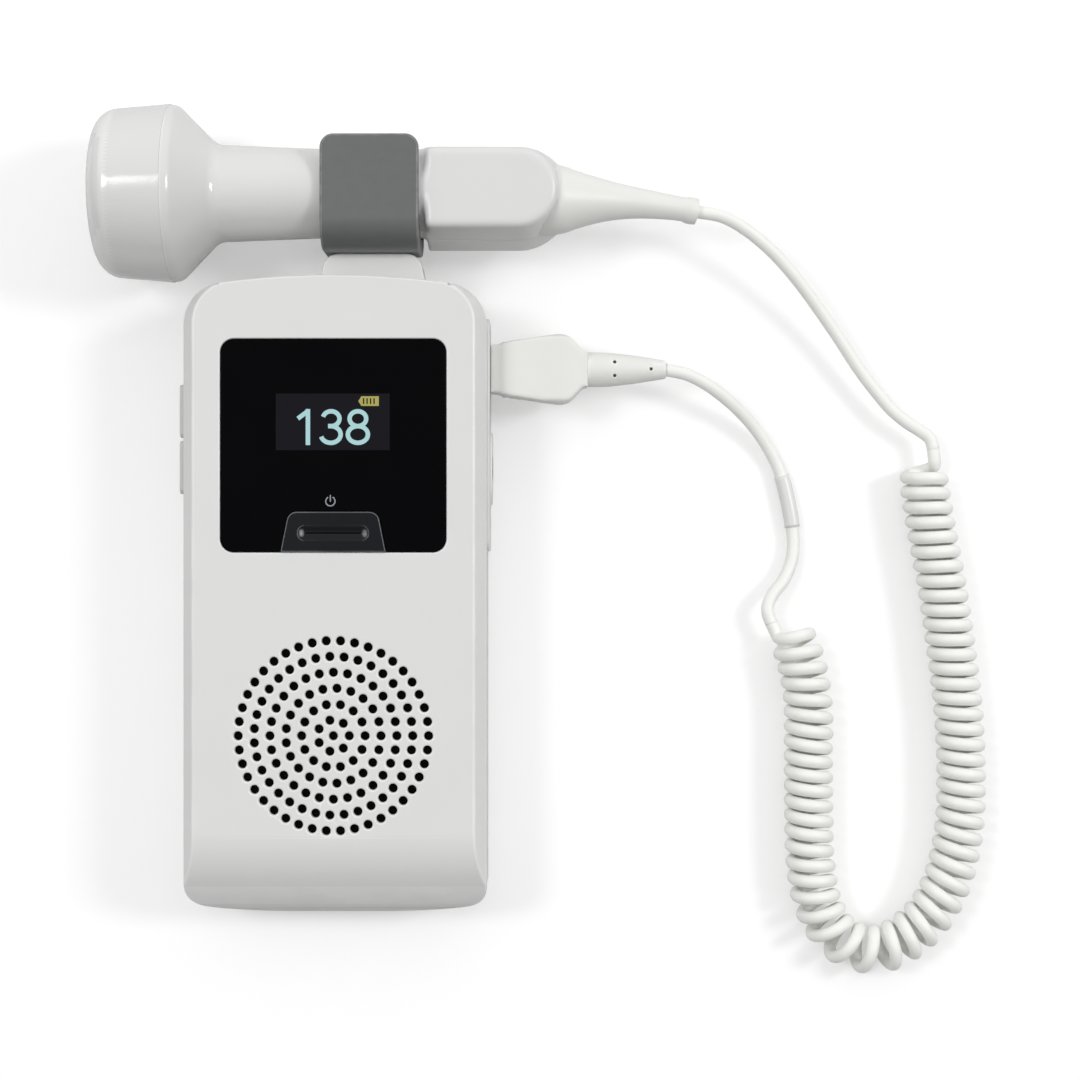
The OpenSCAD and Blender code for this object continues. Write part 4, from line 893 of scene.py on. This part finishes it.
def glow(name, colour, strength, base=(0.01, 0.01, 0.012)):
    """A dim surface that gives off a little light of its own."""
    made = bpy.data.materials.new(name)
    made.use_nodes = True
    shader = made.node_tree.nodes["Principled BSDF"]
    shader.inputs["Base Color"].default_value = (*base, 1)
    shader.inputs["Roughness"].default_value = 0.2
    shader.inputs["Specular IOR Level"].default_value = 0.04
    shader.inputs["Emission Color"].default_value = (*colour, 1)
    shader.inputs["Emission Strength"].default_value = strength
    return made


def flat_shape(name, loops, z, finish):
    """A plate one layer thick from outlines in millimetres; it rides on the unit."""
    mesh = bmesh.new()
    for loop in loops:
        low = [mesh.verts.new((x * MM, y * MM, z)) for x, y in loop]
        high = [mesh.verts.new((x * MM, y * MM, z + LAYER)) for x, y in loop]
        n = len(loop)
        mesh.faces.new(high)
        mesh.faces.new(list(reversed(low)))
        for i in range(n):
            mesh.faces.new((low[i], low[(i + 1) % n], high[(i + 1) % n], high[i]))
    obj = new_piece(name, mesh)
    dress(obj, finish)
    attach(obj, "main_unit")
    return obj


def stroke(line, width):
    """The outlines of a flat line of even width along a row of points, in millimetres."""
    points = [Vector(p) for p in line]
    last = len(points) - 1
    closed = (points[0] - points[-1]).length < 0.001
    sides = []
    for i, p in enumerate(points):
        before = points[i - 1] if i else (points[-2] if closed else p)
        after = points[i + 1] if i < last else (points[1] if closed else p)
        along = (after - before).normalized()
        sides.append(Vector((-along.y, along.x)) * width / 2)
    return [
        [points[i] - sides[i], points[i + 1] - sides[i + 1],
         points[i + 1] + sides[i + 1], points[i] + sides[i]]
        for i in range(last)
    ]


def oval(x, y, rx, ry, start=0, end=360, steps=24):
    """Points on an oval from one angle to another, in degrees."""
    turn = [math.radians(start + (end - start) * i / steps) for i in range(steps + 1)]
    return [(x + rx * math.cos(a), y + ry * math.sin(a)) for a in turn]


# %% [markdown]
# The figures are drawn as strokes of even width: a 1 from two lines, a 3 from two open
# ovals and an 8 from two closed ones, the lower always the larger.

# %% Display
DIGIT_LOW, DIGIT_HIGH, DIGIT_LINE = 40.0, 49.3, 1.15
SCREEN = [(-14.8, 38.7), (14.6, 38.7), (14.6, 53.3), (-14.8, 53.3)]
BATTERY = [(6.5, 51.35), (7.3, 50.1), (11.8, 50.1), (11.8, 52.6), (7.3, 52.6)]
BAR_LOW, BAR_HIGH, BAR_WIDTH = 50.6, 52.1, 0.35
low_y, high_y = DIGIT_LOW + DIGIT_LINE / 2, DIGIT_HIGH - DIGIT_LINE / 2
top_r = (high_y - low_y) * 0.235
low_r = (high_y - low_y) / 2 - top_r
one = [[(-6.5, DIGIT_LOW), (-6.5, DIGIT_HIGH)], [(-6.3, high_y + 0.2), (-9.1, high_y - 1.9)]]
three = [
    oval(-0.5, high_y - top_r, 2.15, top_r, 165, -90) + [(-1.3, high_y - 2 * top_r)],
    oval(-0.6, low_y + low_r, 2.55, low_r, 90, -165),
]
eight = [
    oval(6.4, high_y - top_r, 2.15, top_r), oval(6.4, low_y + low_r, 2.6, low_r),
]
figures = [loop for line in one + three + eight for loop in stroke(line, DIGIT_LINE)]
bars = [
    [(x, BAR_LOW), (x + BAR_WIDTH, BAR_LOW), (x + BAR_WIDTH, BAR_HIGH), (x, BAR_HIGH)]
    for x in (7.7, 8.6, 9.5, 10.4)
]
screen_glow = glow("lit_screen", (0.0065, 0.0065, 0.0085), 1.0, (0.004, 0.004, 0.005))
figure_glow = glow("pale_blue_figures", (0.50, 0.80, 0.82), 0.8)
battery_glow = glow("yellow_battery", (0.5, 0.46, 0.12), 0.8)
flat_shape("lit_screen", [SCREEN], GLASS - LAYER, screen_glow)
flat_shape("heart_rate_figures", figures, GLASS, figure_glow)
flat_shape("battery_sign", [BATTERY], GLASS, battery_glow)
flat_shape("battery_bars", bars, GLASS + LAYER, screen_glow)
window_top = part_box("display_window")[1][2]
print("the signs lie", round((GLASS - window_top) / MM, 3), "mm above the window")

# %% [markdown]
# The power button has a long finger scoop, and its two round ends catch the lamps. A
# circle is stretched to a long oval, thickened, and its top face is then inset and
# lowered in small steps along a soft curve. The two ends also get the rim mark, which
# paints a highlight on them.

# %% Finger scoop of the button
SCOOP_Z, SCOOP_Y = 34.403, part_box("display_window")[0][1] / MM + 4.9
SCOOP_R, SCOOP_STRETCH, SCOOP_DEPTH, SCOOP_THICK = 2.0, 7.1, 0.4, 0.47
SCOOP_STEPS, SCOOP_INSET = 8, 0.92
deselect()
bpy.ops.mesh.primitive_circle_add(
    vertices=48, radius=SCOOP_R * MM, fill_type="NGON", location=(0, SCOOP_Y * MM, SCOOP_Z * MM)
)
scoop = bpy.context.object
scoop.name = "button_scoop"
bpy.ops.object.transform_apply(location=True, rotation=True, scale=True)
for v in scoop.data.vertices:
    v.co.x += math.copysign(SCOOP_STRETCH * MM, v.co.x) if abs(v.co.x) > 1e-6 else 0
bpy.ops.object.mode_set(mode="EDIT")
bpy.ops.mesh.select_all(action="SELECT")
bpy.ops.mesh.extrude_region_move(TRANSFORM_OT_translate={"value": (0, 0, -SCOOP_THICK * MM)})
bpy.ops.mesh.select_all(action="SELECT")
bpy.ops.mesh.normals_make_consistent(inside=False)
bpy.ops.mesh.select_all(action="DESELECT")
bpy.ops.object.mode_set(mode="OBJECT")
for face in scoop.data.polygons:
    face.select = face.normal.z > 0.9
bpy.ops.object.mode_set(mode="EDIT")
fall = [
    SCOOP_DEPTH * (1 - math.cos(math.pi * i / SCOOP_STEPS)) / 2 for i in range(SCOOP_STEPS + 1)
]
for here, there in zip(fall, fall[1:]):
    bpy.ops.mesh.inset(thickness=SCOOP_R * SCOOP_INSET / SCOOP_STEPS * MM)
    bpy.ops.transform.translate(value=(0, 0, (here - there) * MM))
bpy.ops.object.mode_set(mode="OBJECT")
bpy.ops.object.shade_smooth_by_angle(angle=math.radians(40))
# The rim mark at both ends of the scoop is a painted highlight.
painted_glint = scoop.data.attributes.new("rim", "FLOAT", "POINT")
for i, v in enumerate(scoop.data.vertices):
    along = between(abs(v.co.x) / MM, SCOOP_STRETCH + 0.3, SCOOP_STRETCH + 1)
    along *= between(abs(v.co.x) / MM, SCOOP_STRETCH + 1.8, SCOOP_STRETCH + 1.2)
    across = between(abs(v.co.y / MM - SCOOP_Y), 1.1, 0.4)
    painted_glint.data[i].value = along * across
dress(scoop, scoop_highlighted)
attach(scoop, "power_button")
print("scoop:", len(scoop.data.polygons), "faces")

# %% [markdown]
# Above the button a round power sign is printed on the window, in a dim grey. It is a
# ring that is open at the top, with a short bar in the gap.

# %% Power sign
SIGN_X, SIGN_Y, SIGN_IN, SIGN_OUT = -0.7, 25.5, 1.05, 1.35
SIGN_FROM, SIGN_SWEEP, SIGN_PARTS = 120, 300, 22
SIGN_BAR = [(-0.85, 25.4), (-0.55, 25.4), (-0.55, 27.1), (-0.85, 27.1)]


def sign_point(r, part):
    """A point of the ring, at a radius and so many parts along its sweep."""
    a = math.radians(SIGN_FROM + part * SIGN_SWEEP / SIGN_PARTS)
    return (SIGN_X + r * math.cos(a), SIGN_Y + r * math.sin(a))


ring = [
    [sign_point(SIGN_IN, k), sign_point(SIGN_OUT, k),
     sign_point(SIGN_OUT, k + 1), sign_point(SIGN_IN, k + 1)]
    for k in range(SIGN_PARTS)
]
print_grey = plastic("grey_print", (0.3, 0.32, 0.35), (0.27, 0.29, 0.32), 0.5, 0.05)
flat_shape("power_sign", ring + [SIGN_BAR], GLASS - LAYER, print_grey)
print("power sign:", len(ring), "parts and a bar")

# %% [markdown]
# The table is a pale, slightly rough board. Seen directly, it glows a little, like a
# light table, and so its shadows stay pale. The glow lights nothing, because only
# camera rays see it, and the undersides of the device stay dark.

# %% Table
TABLE_GLOW = 0.32
deselect()
bpy.ops.mesh.primitive_plane_add(size=6, location=(0.05, 0.02, -0.3 * MM))
table = bpy.context.object
table.name = "table_top"
table_finish = plastic(
    "pale_table", (0.76, 0.76, 0.76), (0.74, 0.74, 0.74), 0.7, 0.05, grain=900
)
table_nodes, table_links = table_finish.node_tree.nodes, table_finish.node_tree.links
table_shader = table_nodes["Principled BSDF"]
table_shader.inputs["Emission Color"].default_value = (1, 1, 1, 1)
seen = table_nodes.new("ShaderNodeLightPath")
table_glow = table_nodes.new("ShaderNodeMath")
table_glow.operation = "MULTIPLY"
table_glow.inputs[1].default_value = TABLE_GLOW
table_links.new(seen.outputs["Is Camera Ray"], table_glow.inputs[0])
table_links.new(table_glow.outputs["Value"], table_shader.inputs["Emission Strength"])
dress(table, table_finish)
print("table:", tuple(round(side, 2) for side in table.dimensions[:2]), "m")

# %% [markdown]
# In the photograph the faces turned to the foot of the picture fall into shade, while
# nothing throws a hard shadow. So the sky of this studio is a soft gradient, bright
# beyond the head end and dim at the foot, and two soft boxes add the sheen.

# %% Lights
LAMP_AIM = Vector((0.03, 0, 0))
LAMPS = {
    "soft_box_left": ((-0.85, 0.35, 1.6), 6.6),
    "soft_box_right": ((1.35, 0.35, 1.35), 9.6),
}
LAMP_SIZE = 0.4
SKY_FACING = (0, 0.72, 0.7)
SKY_DIM, SKY_BRIGHT = (-0.5, 0.03), (1.0, 0.92)
for name, (place, power) in LAMPS.items():
    bpy.ops.object.light_add(type="AREA", location=place)
    lamp = bpy.context.object
    lamp.name = name
    lamp.data.shape = "RECTANGLE"
    lamp.data.size = LAMP_SIZE
    lamp.data.size_y = LAMP_SIZE
    lamp.data.energy = power
    lamp.rotation_euler = (LAMP_AIM - Vector(place)).to_track_quat("-Z", "Y").to_euler()

world = bpy.data.worlds.new("studio")
bpy.context.scene.world = world
world.use_nodes = True
world_nodes, world_links = world.node_tree.nodes, world.node_tree.links
sky = world_nodes["Background"]
sky.inputs["Color"].default_value = (1, 1, 1, 1)
sky_place = world_nodes.new("ShaderNodeTexCoord")
towards_head = world_nodes.new("ShaderNodeVectorMath")
towards_head.operation = "DOT_PRODUCT"
towards_head.inputs[1].default_value = SKY_FACING
fade = world_nodes.new("ShaderNodeMapRange")
for end, (facing, strength) in (("Min", SKY_DIM), ("Max", SKY_BRIGHT)):
    fade.inputs["From " + end].default_value = facing
    fade.inputs["To " + end].default_value = strength
world_links.new(sky_place.outputs["Generated"], towards_head.inputs[0])
world_links.new(towards_head.outputs["Value"], fade.inputs["Value"])
world_links.new(fade.outputs["Result"], sky.inputs["Strength"])
bpy.context.scene.view_settings.view_transform = "Standard"
print("lamps:", sorted(LAMPS))
